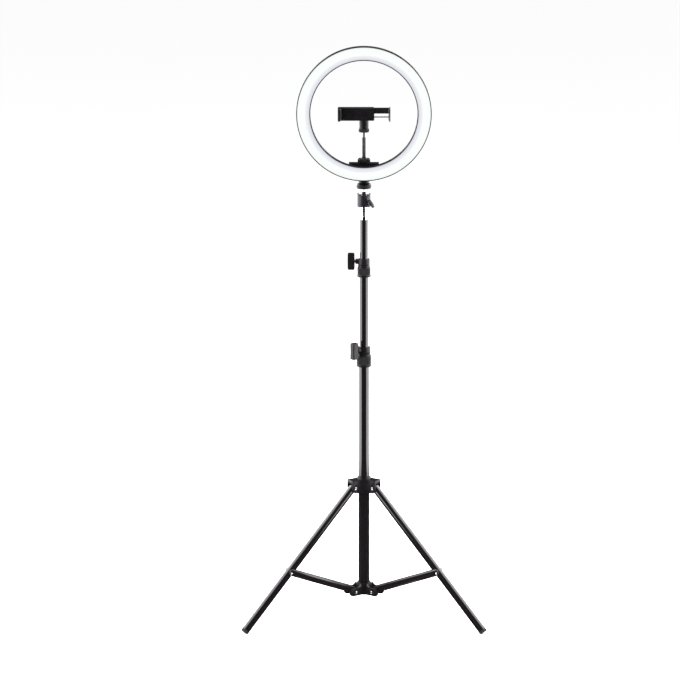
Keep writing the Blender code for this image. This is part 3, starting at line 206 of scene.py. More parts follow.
def grain(material, size, depth, detail=2.0, stretch=(1, 1, 1)):
    """Noise of a real size in metres, in the object's own space. Adds its relief to the shader."""
    tree = material.node_tree
    shader = tree.nodes["Principled BSDF"]
    place = add(tree, "ShaderNodeTexCoord")
    scaled = add(tree, "ShaderNodeMapping", {"Vector": place.outputs["Object"], "Scale": stretch})
    noise = add(tree, "ShaderNodeTexNoise", {"Vector": scaled.outputs[0], "Scale": 1 / size,
                                             "Detail": detail})
    under = shader.inputs["Normal"].links
    relief = {"Height": noise.outputs["Fac"], "Distance": depth, "Strength": 1.0}
    if under:
        relief["Normal"] = under[0].from_socket
    bump = add(tree, "ShaderNodeBump", relief)
    tree.links.new(bump.outputs[0], shader.inputs["Normal"])
    return noise


NOISE_LOW = 0.3
NOISE_HIGH = 0.7


def spread(material, noise, socket, low, high):
    """Varies one of the shader's inputs between two values or colours, by a noise."""
    tree = material.node_tree
    shader = tree.nodes["Principled BSDF"]
    if isinstance(low, str):
        ramp = add(tree, "ShaderNodeValToRGB", {"Fac": noise.outputs["Fac"]})
        ramp.color_ramp.elements[0].position = NOISE_LOW
        ramp.color_ramp.elements[0].color = linear(low)
        ramp.color_ramp.elements[1].position = NOISE_HIGH
        ramp.color_ramp.elements[1].color = linear(high)
        tree.links.new(ramp.outputs[0], shader.inputs[socket])
        return
    ranged = add(tree, "ShaderNodeMapRange", {"Value": noise.outputs["Fac"], "From Min": NOISE_LOW,
                                              "From Max": NOISE_HIGH, "To Min": low, "To Max": high})
    tree.links.new(ranged.outputs[0], shader.inputs[socket])


STRAIGHT = math.radians(15)
SIDE_SHARE = 0.45


def fillet(profile, radius, closed=False, steps=3):
    """Rounds the corners of a profile, each by no more than its shorter side allows."""
    count = len(profile)
    out = []
    for i, point in enumerate(profile):
        if not closed and i in (0, count - 1):
            out.append(point)
            continue
        here = Vector(point)
        before = Vector(profile[i - 1]) - here
        after = Vector(profile[(i + 1) % count]) - here
        turn = math.pi - before.angle(after)
        if turn < STRAIGHT or here.x == 0:
            out.append(point)
            continue
        cut = min(radius, before.length * SIDE_SHARE, after.length * SIDE_SHARE)
        start = here + before.normalized() * cut
        end = here + after.normalized() * cut
        for k in range(steps + 1):
            t = k / steps
            out.append(tuple(start * (1 - t) ** 2 + here * 2 * t * (1 - t) + end * t * t))
    return out


MERGE = 1e-7
SLIVER = 1e-8


def weld_points(shape):
    """Merges the points that meet at a pole or a seam, and drops the slivers between them."""
    bmesh.ops.remove_doubles(shape, verts=shape.verts, dist=MERGE)
    bmesh.ops.dissolve_degenerate(shape, edges=shape.edges, dist=SLIVER)


def solid_mesh(shape, name, sharp=None):
    """The finished mesh, facing outward, and smooth but for its edges over sharp degrees."""
    bmesh.ops.recalc_face_normals(shape, faces=shape.faces)
    mesh = bpy.data.meshes.new(name)
    shape.to_mesh(mesh)
    shape.free()
    mesh.shade_smooth()
    if sharp:
        mesh.set_sharp_from_angle(angle=math.radians(sharp))
    return mesh


def revolve(name, profile, steps=96, closed=False, change=None, sharp=40):
    """Turns a profile of (radius, height) about Z. change moves a point, from its angle and place."""
    shape = bmesh.new()
    rows = []
    for k in range(steps):
        angle = math.tau * k / steps
        row = []
        for radius, height in profile:
            if change:
                radius, height = change(angle, radius, height)
            row.append(shape.verts.new((radius * math.cos(angle), radius * math.sin(angle), height)))
        rows.append(row)
    last = len(profile) if closed else len(profile) - 1
    for k in range(steps):
        near, far = rows[k], rows[(k + 1) % steps]
        for i in range(last):
            j = (i + 1) % len(profile)
            shape.faces.new((near[i], far[i], far[j], near[j]))
    weld_points(shape)
    return solid_mesh(shape, name, sharp)


def put(name, mesh, material, body, at, replaced=(), lay=False):
    """Adds a piece at a matrix, rides it on its body, and hides the CAD nodes it stands for.

    lay moves the mesh itself, so that a tilted piece's box is as tight as the piece.
    """
    if lay:
        mesh.transform(at)
        at = Matrix.Identity(4)
    piece = bpy.data.objects.new(name, mesh)
    if not mesh.materials:
        mesh.materials.append(material)
    bpy.context.scene.collection.objects.link(piece)
    piece.matrix_world = at
    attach(piece, body)
    if replaced:
        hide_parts(*replaced)
    return piece


def turned(name, profile, steps, material, body, at, node, slot, lay=False, **how):
    """Turns a piece from its profile and puts it in place of its CAD node."""
    return put(name, revolve(name, profile, steps, **how), material, body, at, [node], lay)


def tube_wall(outer, wall, low, high):
    """The closed profile of a plain tube."""
    return [(outer, high), (outer, low), (outer - wall, low), (outer - wall, high)]


enamel = surface("gloss_black_enamel_sprayed", "#0C090B", 0.12,
                 also={"Specular IOR Level": 0.42, "Coat Weight": 0.25, "Coat Roughness": 0.05})
PEEL = 2.2 * MM
RUB = 1.2 * MM
ALONG_THE_TUBE = (1, 1, 0.04)
grain(enamel, PEEL, 0.012 * MM)
spread(enamel, grain(enamel, RUB, 0.004 * MM, 4.0, ALONG_THE_TUBE), "Roughness", 0.08, 0.16)

column = Matrix.Translation(AXIS)
for node, body, wall_mm in (("lower_tube", "stand_base", 1.0), ("middle_tube", "middle_section", 0.8),
                            ("top_tube", "top_section", 0.8)):
    low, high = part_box(node)
    profile = fillet(tube_wall(high.x, wall_mm * MM, low.z, high.z), TUBE_EDGE, True)
    turned(node + "_steel", profile, 96, enamel, body, column, node, "gloss_black_paint", closed=True)

# ---- Column plugs ----
# Natural nylon plugs, injection moulded and pressed into the bottom end of each tube. Milky, slightly
# translucent and satin, with two shallow grooves round the head that hold grease.
PLUG_HEAD = 5 * MM
PLUG_STEP = 1.4 * MM
PLUG_EDGE = 0.3 * MM
GREASE_GROOVES = (0.35, 0.7)
GREASE_GROOVE_DEEP = 0.3 * MM
GREASE_GROOVE_HALF = 0.4 * MM
nylon = surface("natural_nylon_moulded", "#E4DFD0", 0.48,
                also={"Subsurface Weight": 0.2, "Subsurface Scale": 1.5 * MM})
spread(nylon, grain(nylon, 3 * MM, 0.01 * MM), "Base Color", "#DDD7C6", "#EAE6DA")


def grooved(outer, low, high, grooves, depth, wide):
    """A side profile that runs down, with round-bottomed grooves at the given shares of its height."""
    points = [(outer, high)]
    for share in grooves:
        middle = high - (high - low) * share
        points += [(outer, middle + wide), (outer - depth, middle + wide * 0.4),
                   (outer - depth, middle - wide * 0.4), (outer, middle - wide)]
    return points + [(outer, low)]


for node, body in (("column_plug", "stand_base"), ("middle_plug", "middle_section"),
                   ("top_plug", "top_section")):
    low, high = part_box(node)
    head = low.z + PLUG_HEAD
    neck = high.x - PLUG_STEP
    profile = ([(0, high.z), (neck, high.z), (neck, head)]
               + grooved(high.x, low.z, head, GREASE_GROOVES, GREASE_GROOVE_DEEP, GREASE_GROOVE_HALF)
               + [(0, low.z)])
    turned(node + "_nylon", fillet(profile, PLUG_EDGE), 80, nylon, body, column, node, "nylon")

# ---- Lower hub and sliding upper hub ----
# Two three-armed hubs, injection moulded in glass-filled black ABS. The lower one is fixed on the
# column's bottom end, and the upper one slides. The plastic is a satin near-black with a fine
# spark-eroded texture and a faint random mottle in its tone, and its edges are moulded round.
CRISP_EDGE = math.radians(35)
MOULDED_EDGE = math.radians(40)
FLAT_FACE = math.radians(1)
SAME_POINT = 0.01 * MM
abs_black = surface("black_abs_moulded", "#0F0D0F", 0.40, also={"Specular IOR Level": 0.16})
texture = grain(abs_black, 0.8 * MM, 0.03 * MM, 3.0)
flow = grain(abs_black, 14 * MM, 0.01 * MM)
spread(abs_black, texture, "Roughness", 0.24, 0.40)
spread(abs_black, flow, "Base Color", "#0A080A", "#110F11")


def smooth_normals():
    """A node group that shades smooth across soft edges and keeps the crisp ones."""
    group = bpy.data.node_groups.new("smooth_by_angle", "GeometryNodeTree")
    group.interface.new_socket("Geometry", in_out="INPUT", socket_type="NodeSocketGeometry")
    group.interface.new_socket("Geometry", in_out="OUTPUT", socket_type="NodeSocketGeometry")
    start = add(group, "NodeGroupInput")
    faces = add(group, "GeometryNodeSetShadeSmooth", {"Geometry": start.outputs[0]}, domain="FACE")
    faces.inputs["Shade Smooth"].default_value = True
    angle = add(group, "GeometryNodeInputMeshEdgeAngle")
    soft = add(group, "FunctionNodeCompare", {0: angle.outputs[0], 1: CRISP_EDGE},
               operation="LESS_THAN")
    edges = add(group, "GeometryNodeSetShadeSmooth", {"Geometry": faces.outputs[0]}, domain="EDGE")
    group.links.new(soft.outputs[0], edges.inputs["Shade Smooth"])
    end = add(group, "NodeGroupOutput")
    group.links.new(edges.outputs[0], end.inputs[0])
    return group


SMOOTH = smooth_normals()


def keep(node, material, edge, steps=2):
    """Keeps a CAD node whose shape is right: a better material, and its edges moulded round."""
    shown = nodes[node]
    for held in shown.material_slots:
        held.material = material
    weld = shown.modifiers.new("weld", "WELD")
    weld.merge_threshold = SAME_POINT
    flat = shown.modifiers.new("flat_faces", "DECIMATE")
    flat.decimate_type = "DISSOLVE"
    flat.angle_limit = FLAT_FACE
    rounded = shown.modifiers.new("moulded_edges", "BEVEL")
    rounded.width = edge
    rounded.segments = steps
    rounded.limit_method = "ANGLE"
    rounded.angle_limit = MOULDED_EDGE
    rounded.use_clamp_overlap = True
    smooth = shown.modifiers.new("smooth", "NODES")
    smooth.node_group = SMOOTH


HUB_EDGE = 0.5 * MM
keep("lower_hub", abs_black, HUB_EDGE)
keep("leg_hub", abs_black, HUB_EDGE)

# ---- Hub lock knob ----
# A small moulded knob with eight finger lobes on a zinc-plated M4 screw, which locks the sliding hub.
# The same ABS as the hubs. Zinc plate is a bluish grey metal, slightly cloudy.
LOCK_KNOB_R = 6.9 * MM
LOCK_KNOB_FACE_R = 6.2 * MM
LOCK_KNOB_EDGE = 1.5 * MM
LOCK_KNOB_BACK_R = 4.5 * MM
LOCK_KNOB_DISH_R = 3.2 * MM
LOCK_KNOB_DISH = 0.6 * MM
LOCK_KNOB_BORE_R = 2.4 * MM
LOCK_KNOB_BORE = 3 * MM
LOCK_KNOB_ROUND = 0.8 * MM
LOBES = 8
LOBE_SHARE = 0.05
LOBES_BEYOND = 5 * MM
M4_R = 2.0 * MM
M4_HEAD_END_R = 1.7 * MM
M4_TIP_R = 1.4 * MM
M4_LEAD = 0.4 * MM
M4_PITCH = 0.7 * MM
CREST_END = 0.1
zinc = surface("zinc_plated_steel", "#B4B8BC", 0.32, 1.0)
spread(zinc, grain(zinc, 2.5 * MM, 0.006 * MM), "Roughness", 0.26, 0.42)


def threaded(radius, low, high, pitch, depth):
    """The side of a screw from top to bottom, with a ridge for each turn of its thread."""
    turns = max(1, int((high - low) / pitch))
    step = (high - low) / turns
    points = []
    for k in range(turns):
        top = high - k * step
        points += [(radius, top - step * CREST_END), (radius - depth, top - step * 0.5),
                   (radius, top - step * (1 - CREST_END))]
    return points


def m4_screw(low, high, gap, depth):
    """The profile of an M4 screw, with its thread drawn deep enough to show."""
    return ([(0, high), (M4_HEAD_END_R, high)] + threaded(M4_R, low + M4_LEAD, high - gap, M4_PITCH, depth)
            + [(M4_TIP_R, low), (0, low)])


def axis_frame(joint, roll=0.0):
    """A frame on a joint's axis, with its Z along the axis."""
    found = joints[joint]
    along = Vector(found["axis"]).normalized()
    turn = along.to_track_quat("Z", "Y").to_matrix().to_4x4()
    return Matrix.Translation(Vector(found["pos_m"])) @ turn @ Matrix.Rotation(roll, 4, "Z")


def reach(node, at):
    """How far a CAD node reaches along a frame's Z, lowest and highest."""
    back = at.inverted()
    heights = [(back @ v.co).z for v in nodes[node].data.vertices]
    return min(heights), max(heights)


at = axis_frame("hub_lock_turn")
low, high = reach("hub_lock_knob", at)
profile = [(0, high - LOCK_KNOB_DISH), (LOCK_KNOB_DISH_R, high), (LOCK_KNOB_FACE_R, high),
           (LOCK_KNOB_R, high - LOCK_KNOB_EDGE), (LOCK_KNOB_R, low + LOCK_KNOB_EDGE),
           (LOCK_KNOB_BACK_R, low), (LOCK_KNOB_BORE_R, low), (LOCK_KNOB_BORE_R, low + LOCK_KNOB_BORE),
           (0, low + LOCK_KNOB_BORE)]


def eight_lobes(angle, radius, height):
    """Draws the knob's rim in between its eight finger lobes."""
    return radius * (1 - LOBE_SHARE * (radius > LOBES_BEYOND) * (1 + math.cos(LOBES * angle))), height


turned("hub_lock_knob_lobed", fillet(profile, LOCK_KNOB_ROUND), 128, abs_black, "hub_lock", at,
       "hub_lock_knob", "black_abs", change=eight_lobes)
low, high = reach("hub_lock_screw", at)
turned("hub_lock_screw_m4", m4_screw(low, high, 0.0, 0.35 * MM), 48, zinc, "hub_lock", at,
       "hub_lock_screw", "zinc_steel")

# ---- Legs, feet, stays and rivets ----
# Each leg is a 16 mm steel tube in the column's enamel, its top end cut round to swing under the hub's
# roof, and its foot a matt rubber cap, ringed, and worn flat on the floor. The stays are pressed
# channels in the same enamel. Every pivot is a bright nickel-plated tubular rivet with a dark bore.
ARMS = {"left": 210, "right": 330, "back": 90}
LEG_R = 8 * MM
LEG_TUBE_WALL = 1.0 * MM
LEG_EDGE = 0.3 * MM
FOOT_GAP = 0.3 * MM
FOOT_TIP = 4.95 * MM
FOOT_EDGE = 0.5 * MM
FOOT_RINGS = (0.3, 0.6)
FOOT_RING = 0.35 * MM
FOOT_LEAD_R = 0.6 * MM
FOOT_LEAD = 1 * MM
STAY_EDGE = 0.35 * MM
RIVET_SHANK_R = 1.95 * MM
RIVET_HEAD_R = 2.7 * MM
RIVET_CROWN_R = 0.72 * RIVET_HEAD_R
RIVET_HEAD = 1 * MM
RIVET_EDGE = 0.45 * MM
RIVET_BORE_R = 1.05 * MM
RIVET_BORE = 2.2 * MM
RIVET_ROLL_R = 0.35 * MM
rubber = surface("black_rubber_moulded", "#151415", 0.78)
spread(rubber, grain(rubber, 0.6 * MM, 0.03 * MM, 3.0), "Roughness", 0.68, 0.86)
nickel = surface("nickel_plated_brass", "#DCDBDA", 0.2, 1.0)
spread(nickel, grain(nickel, 1.5 * MM, 0.004 * MM), "Roughness", 0.14, 0.28)


def rivet_profile(low, high, heads):
    """A tubular rivet from its upper head down to its lower one, or to a plain end."""
    top = [(0, high - RIVET_BORE), (RIVET_BORE_R, high - RIVET_BORE), (RIVET_BORE_R, high - 0.7 * MM),
           (RIVET_BORE_R + RIVET_ROLL_R, high - 0.1 * MM), (RIVET_CROWN_R, high),
           (RIVET_HEAD_R, high - RIVET_EDGE), (RIVET_HEAD_R, high - RIVET_HEAD),
           (RIVET_SHANK_R, high - RIVET_HEAD)]
    if heads == 1:
        return top + [(RIVET_SHANK_R, low), (0, low)]
    return top + [(radius, low + high - height) for radius, height in reversed(top)]


def round_end(angle, radius, height):
    """Cuts a leg's top end to a half round across its pivot."""
    if height > 0:
        return radius, radius * abs(math.sin(angle)) + height - LEG_R
    return radius, height


for side, degrees in ARMS.items():
    fold = joints[f"leg_{side}_fold"]
    pivot = Vector(fold["pos_m"])
    tilt = math.radians(fold["range_deg"][1])
    hang = (Matrix.Translation(pivot) @ Matrix.Rotation(math.radians(degrees), 4, "Z")
            @ Matrix.Rotation(-tilt, 4, "Y"))
    leg_low = reach(f"leg_{side}", hang)[0]
    turned(f"leg_{side}_steel", fillet(tube_wall(LEG_R, LEG_TUBE_WALL, leg_low, LEG_R), LEG_EDGE, True), 96,
           enamel, f"leg_{side}", hang, f"leg_{side}", "gloss_black_paint", True, closed=True,
           change=round_end)

    foot_high = reach(f"foot_{side}", hang)[1]
    rim = leg_low - FOOT_GAP
    tip = rim - FOOT_TIP
    neck = LEG_R - LEG_TUBE_WALL - FOOT_GAP
    profile = ([(0, foot_high), (neck - FOOT_LEAD_R, foot_high), (neck, foot_high - FOOT_LEAD), (neck, rim)]
               + grooved(LEG_R, tip, rim, FOOT_RINGS, FOOT_RING, FOOT_RING) + [(0, tip)])
    foot = revolve(f"foot_{side}_cap", fillet(profile, FOOT_EDGE), 96, sharp=50)
    for point in foot.vertices:
        height = (hang @ point.co).z
        if height < 0:
            point.co = hang.inverted() @ ((hang @ point.co) * Vector((1, 1, 0)))
    put(f"foot_{side}_cap", foot, rubber, f"leg_{side}", hang, [f"foot_{side}"], True)

    keep(f"stay_{side}", enamel, STAY_EDGE)
    lie = Matrix.Rotation(math.pi / 2, 4, "X")
    for name, joint, body in ((f"leg_pin_{side}", f"leg_{side}_fold", "leg_hub"),
                              (f"stay_pin_{side}", f"stay_{side}_fold", "stand_base")):
        at = (Matrix.Translation(Vector(joints[joint]["pos_m"]))
              @ Matrix.Rotation(math.radians(degrees), 4, "Z") @ lie)
        turned(name + "_tubular", rivet_profile(*reach(name, at), 2), 56, nickel, body, at, name,
               "nickel_rivet")
    for end in ("front", "rear"):
        name = f"stay_rivet_{side}_{end}"
        low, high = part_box(name)
        turn = Matrix.Rotation(math.radians(degrees), 4, "Z") @ lie
        if end == "rear":
            turn = turn @ Matrix.Rotation(math.pi, 4, "X")
        at = Matrix.Translation((low + high) / 2) @ turn
        turned(name + "_tubular", rivet_profile(*reach(name, at), 1), 56, nickel, f"stay_{side}", at,
               name, "nickel_rivet")

# ---- Clamp collars and their knobs ----
# Moulded ABS collars on the tubes' top ends. The lower half is ribbed for grip between two plain
# bands, and a boss at the side takes the clamp screw. The T-handled knob is moulded round the screw's
# head, with rounded ends and three finger grooves on each side.
RIBS = 36
RIB_DEEP = 0.75 * MM
RIB_FULLNESS = 0.6
RIBS_ABOVE_FOOT = 4.5 * MM
RIBS_BELOW_STEP = 2.5 * MM
RIB_ROWS = 10
RIB_END = 0.7 * MM
COLLAR_STEP_IN = 1 * MM
COLLAR_STEP_EASE = 0.4 * MM
COLLAR_MOUTH_R = 1.2 * MM
COLLAR_MOUTH = 1.6 * MM
FLANGE_TALL = 2.2 * MM
LINE_DEEP = 0.35 * MM
LINE_ENDS = (3 * MM, 1.4 * MM)
LINE_FLOOR = (2.6 * MM, 1.8 * MM)
BOSS_R = 5.4 * MM
BOSS_BORE_R = 3.3 * MM
BOSS_SUNK = 3 * MM
BOSS_EDGE = 0.5 * MM
NEAR = 0.1 * MM
HERE = 0.01 * MM


def boss_and_collar(node, body, joint, name):
    """The turned collar with its ribs, and the round boss for its screw, as one mesh."""
    low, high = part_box(node)
    from_axis = [v.co - AXIS for v in nodes[node].data.vertices]
    spots = [(math.hypot(spot.x, spot.y), spot.z) for spot in from_axis]
    flange = max(r for r, z in spots if z < low.z + COLLAR_STEP_IN)
    side_r = flange - COLLAR_STEP_IN
    upper_r = side_r - COLLAR_STEP_IN
    step = max(round(z, 5) for r, z in spots if abs(r - side_r) < NEAR)
    wide_bore = min(round(r, 5) for r, z in spots if z < low.z + NEAR)
    top_bore = min(r for r, z in spots if z > high.z - NEAR)
    ledge = min(z for r, z in spots if r < top_bore + NEAR)
    rib_low = low.z + RIBS_ABOVE_FOOT
    rib_high = step - RIBS_BELOW_STEP
    rows = [rib_high - (rib_high - rib_low) * k / RIB_ROWS for k in range(RIB_ROWS + 1)]
    profile = ([(upper_r - COLLAR_MOUTH_R, high.z), (upper_r, high.z - COLLAR_MOUTH),
                (upper_r, step + LINE_ENDS[0]), (upper_r - LINE_DEEP, step + LINE_FLOOR[0]),
                (upper_r - LINE_DEEP, step + LINE_FLOOR[1]), (upper_r, step + LINE_ENDS[1]),
                (upper_r, step + NEAR), (side_r, step - COLLAR_STEP_EASE), (side_r, rib_high + RIB_END)]
               + [(side_r, z) for z in rows]
               + [(side_r, rib_low - RIB_END), (side_r, low.z + FLANGE_TALL + COLLAR_STEP_EASE),
                  (flange, low.z + FLANGE_TALL), (flange, low.z + COLLAR_STEP_EASE),
                  (flange - COLLAR_STEP_EASE, low.z), (wide_bore, low.z), (wide_bore, ledge),
                  (top_bore, ledge), (top_bore, high.z)])

    def ribbed(angle, radius, height):
        """Sinks the side between the ribs."""
        if abs(radius - side_r) < HERE and rib_low - NEAR < height < rib_high + NEAR:
            wave = 0.5 + 0.5 * math.cos(RIBS * angle)
            return radius - RIB_DEEP * (1 - wave ** RIB_FULLNESS), height
        return radius, height

    mesh = revolve(name, profile, RIBS * 8, True, ribbed, 50)
    at = axis_frame(joint)
    boss_end = reach(node, at)[1]
    boss = [(BOSS_R, upper_r - BOSS_SUNK), (BOSS_R, boss_end - BOSS_EDGE), (BOSS_R - BOSS_EDGE, boss_end),
            (BOSS_BORE_R, boss_end), (BOSS_BORE_R, upper_r - BOSS_SUNK)]
    side_mesh = revolve(name + "_boss", list(reversed(boss)), 64, True)
    side_mesh.transform(column.inverted() @ at)
    shape = bmesh.new()
    shape.from_mesh(mesh)
    shape.from_mesh(side_mesh)
    shape.to_mesh(mesh)
    shape.free()
    put(name, mesh, abs_black, body, column, [node])


def sign_power(value, power):
    """A power that keeps its value's sign, which makes a circle's points square."""
    return math.copysign(abs(value) ** power, value)


HANDLE_DEEP = 13 * MM
HANDLE_TALL = 33 * MM
HANDLE_SQUARE = 0.22
HANDLE_PLAN_SQUARE = 0.36
HANDLE_WAIST = 0.10
FINGER_GROOVES = (-0.45, 0.0, 0.45)
FINGER_GROOVE_HALF = 0.10
FINGER_GROOVE_IN = 0.07
GRIP_FROM = 0.4


def handle_mesh(name, low, high, deep, tall):
    """A T-handle: a rounded block with a soft waist and three grooves down each gripping side."""
    half = (high - low) / 2
    middle = (high + low) / 2
    across, around = 64, 128
    shape = bmesh.new()
    grid = []
    for i in range(across + 1):
        up = -math.pi / 2 + math.pi * i / across
        row = []
        for k in range(around):
            turn = math.tau * k / around
            wide = sign_power(math.cos(up), HANDLE_SQUARE)
            x = wide * sign_power(math.cos(turn), HANDLE_PLAN_SQUARE)
            y = wide * sign_power(math.sin(turn), HANDLE_PLAN_SQUARE)
            z = sign_power(math.sin(up), HANDLE_SQUARE)
            waist = 1 - HANDLE_WAIST * (1 - z * z)
            groove = 0.0
            for centre in FINGER_GROOVES:
                groove = max(groove, 1 - ((z - centre) / FINGER_GROOVE_HALF) ** 2)
            inset = FINGER_GROOVE_IN * groove * max(0.0, abs(y) - GRIP_FROM) / (1 - GRIP_FROM)
            row.append(shape.verts.new((z * tall / 2, y * deep / 2 * (waist - inset),
                                        middle + x * half)))
        grid.append(row)
    for i in range(across):
        for k in range(around):
            j = (k + 1) % around
            shape.faces.new((grid[i][k], grid[i][j], grid[i + 1][j], grid[i + 1][k]))
    weld_points(shape)
    return solid_mesh(shape, name)


M6_R = 3.0 * MM
M6_HEAD_END_R = 2.6 * MM
M6_TIP_R = 2.1 * MM
M6_LEAD = 0.6 * MM
M6_HEAD_GAP = 0.3 * MM
M6_PITCH = 1.0 * MM
M6_THREAD = 0.45 * MM

for level, collar_body in (("lower", "stand_base"), ("upper", "middle_section")):
    boss_and_collar(f"{level}_collar", collar_body, f"{level}_knob_turn", f"{level}_collar_ribbed")
    at = axis_frame(f"{level}_knob_turn")
    top = (at.inverted().to_3x3() @ Vector((0, 0, 1))).normalized()
    roll = math.atan2(top.y, top.x)
    at = at @ Matrix.Rotation(roll, 4, "Z")
    low, high = reach(f"{level}_knob", at)
    put(f"{level}_knob_handle", handle_mesh(f"{level}_knob_handle", low, high, HANDLE_DEEP, HANDLE_TALL),
        abs_black, f"{level}_knob", at, [f"{level}_knob"])
    low, high = reach(f"{level}_knob_screw", at)
    profile = ([(0, high), (M6_HEAD_END_R, high)]
               + threaded(M6_R, low + M6_LEAD, high - M6_HEAD_GAP, M6_PITCH, M6_THREAD)
               + [(M6_TIP_R, low), (0, low)])
    turned(f"{level}_knob_screw_m6", profile, 64, zinc, f"{level}_knob", at, f"{level}_knob_screw",
           "zinc_steel")

# ---- Spigot ----
# A turned steel spigot pressed into the top tube, polished and chromed, with a rim that rests on the
# tube and a 1/4 inch stud. Chrome is a bright, slightly blue mirror, with faint turning marks.
SPIGOT_R = 6.3 * MM
SPIGOT_SHANK_R = 7.2 * MM
SPIGOT_LEAD_R = 6.4 * MM
SPIGOT_LEAD = 1 * MM
SPIGOT_TOP_EDGE = 0.5 * MM
SPIGOT_TOP_GAP = 0.3 * MM
SPIGOT_TOP_TALL = 0.9 * MM
SPIGOT_EDGE = 0.25 * MM
RIM_LIFT = 0.3 * MM
RIM_TALL = 5.8 * MM
RIM_EASE = 0.3 * MM
RIM_FOOT = 0.4 * MM
STUD_R = 3.1 * MM
STUD_END_R = 2.5 * MM
STUD_LEAD = 0.4 * MM
STUD_PITCH = 1.27 * MM
STUD_THREAD = 0.5 * MM
ACROSS_THE_TURNING = (0.05, 0.05, 1)
chrome = surface("polished_chrome_plate", "#DADCE0", 0.07, 1.0)
spread(chrome, grain(chrome, 0.5 * MM, 0.002 * MM, 2.0, ACROSS_THE_TURNING), "Roughness", 0.05, 0.12)


def stud(low, high):
    """The profile of a 1/4 inch stud from its top down to its root."""
    return [(0, high), (STUD_END_R, high)] + threaded(STUD_R, low, high - STUD_LEAD, STUD_PITCH, STUD_THREAD)


low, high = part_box("spigot")
rim_z = max(v.co.z for v in nodes["top_tube"].data.vertices) + RIM_LIFT
cup_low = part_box("ball_cup")[0].z
profile = stud(cup_low, high.z) + [
    (SPIGOT_R - SPIGOT_TOP_EDGE, cup_low - SPIGOT_TOP_GAP), (SPIGOT_R, cup_low - SPIGOT_TOP_TALL),
    (SPIGOT_R, rim_z + RIM_TALL), (high.x - SPIGOT_EDGE, rim_z + RIM_TALL - RIM_EASE),
    (high.x, rim_z + RIM_TALL - 2 * RIM_EASE), (high.x, rim_z + RIM_FOOT), (high.x - RIM_FOOT, rim_z),
    (SPIGOT_SHANK_R, rim_z), (SPIGOT_SHANK_R, low.z + SPIGOT_LEAD), (SPIGOT_LEAD_R, low.z), (0, low.z)]
turned("spigot_chromed", fillet(profile, SPIGOT_EDGE), 112, chrome, "top_section", column, "spigot",
       "chrome")

# ---- Ball head ----
# A zinc die-cast cup, sprayed satin black with a purplish cast, whose two ears leave a notch for the
# stem. A wing screw squeezes a nylon bowl under the ball. The ball, its neck with a double cone, and
# the stud are one steel turning, blackened to hold but for the chromed stud. On the double cone the black is
# also a painted reflection: it stands in for the dark that the cone reflects.
die_cast = surface("black_die_cast_sprayed", "#141118", 0.34, also={"Specular IOR Level": 0.22})
spread(die_cast, grain(die_cast, 0.7 * MM, 0.02 * MM, 3.0), "Roughness", 0.24, 0.38)
CUP_STEPS = 192
low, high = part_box("ball_cup")
ball_z = joints["ball_tilt"]["pos_m"][2]
cup_r = high.x
CAVITY_R = 10.5 * MM
LIP_R = 8.0 * MM
LIP_UNDER_R = 8.4 * MM
LIP_THICK = 1.7 * MM
NOTCH_HALF = 8.5 * MM
NOTCH_SIDE = 1.6 * MM
NOTCH_FLOOR = 0.5 * MM
EAR_EDGE = 0.7 * MM
CUP_FOOT_EDGE = 1 * MM
CUP_LINE = (7.2 * MM, 6.8 * MM, 5.9 * MM, 5.5 * MM)
CUP_LINE_DEEP = 0.4 * MM
STUD_HOLE_R = 3.4 * MM
STUD_HOLE = 5.4 * MM
CUP_EDGE = 0.3 * MM
lip_z = ball_z + 4.2 * MM
ear_z = high.z
hollow = [(CAVITY_R * math.cos(math.radians(a)), ball_z + CAVITY_R * math.sin(math.radians(a)))
          for a in range(-80, 1, 10)]
profile = [(0, ball_z - CAVITY_R)] + hollow + [
    (CAVITY_R, lip_z - LIP_THICK), (LIP_UNDER_R, lip_z - LIP_THICK), (LIP_R, lip_z),
    (CAVITY_R, lip_z + NEAR), (CAVITY_R, ear_z - NOTCH_FLOOR), (CAVITY_R + NOTCH_FLOOR, ear_z),
    (cup_r - EAR_EDGE, ear_z), (cup_r, ear_z - EAR_EDGE), (cup_r, lip_z - 1 * MM),
    (cup_r, low.z + CUP_LINE[0]), (cup_r - CUP_LINE_DEEP, low.z + CUP_LINE[1]),
    (cup_r - CUP_LINE_DEEP, low.z + CUP_LINE[2]), (cup_r, low.z + CUP_LINE[3]),
    (cup_r, low.z + CUP_FOOT_EDGE), (cup_r - CUP_FOOT_EDGE, low.z), (STUD_HOLE_R, low.z),
    (STUD_HOLE_R, low.z + STUD_HOLE), (0, low.z + STUD_HOLE)]


def notched(angle, radius, height):
    """Lowers the cup's rim to the lip between the two ears."""
    if height > lip_z + NEAR / 2:
        across = abs(radius * math.cos(angle))
        share = min(1.0, max(0.0, (across - NOTCH_HALF) / NOTCH_SIDE))
        share = share * share * (3 - 2 * share)
        return radius, lip_z + NOTCH_FLOOR + (height - lip_z - NOTCH_FLOOR) * share
    return radius, height


turned("ball_cup_cast", fillet(profile, CUP_EDGE, steps=2), CUP_STEPS, die_cast, "ball_head", column,
       "ball_cup", "black_die_cast", change=notched, sharp=45)
LEVER_EDGE = 0.9 * MM
keep("ball_lever", die_cast, LEVER_EDGE, steps=3)
at = axis_frame("lever_turn")
low, high = reach("ball_lever_screw", at)
turned("ball_lever_screw_m4", m4_screw(low, high, 0.2 * MM, 0.3 * MM), 48, zinc, "lever", at,
       "ball_lever_screw", "zinc_steel")


def bowl_profile(inner, outer, start, end, steps):
    """A bowl's closed profile between two spheres, for angles below the horizon in degrees."""
    angles = [math.radians(start + (end - start) * k / steps) for k in range(steps + 1)]
    under = [(outer * math.cos(a), outer * math.sin(a)) for a in angles]
    over = [(inner * math.cos(a), inner * math.sin(a)) for a in reversed(angles)]
    return under + [(0, -outer), (0, -inner)] + over


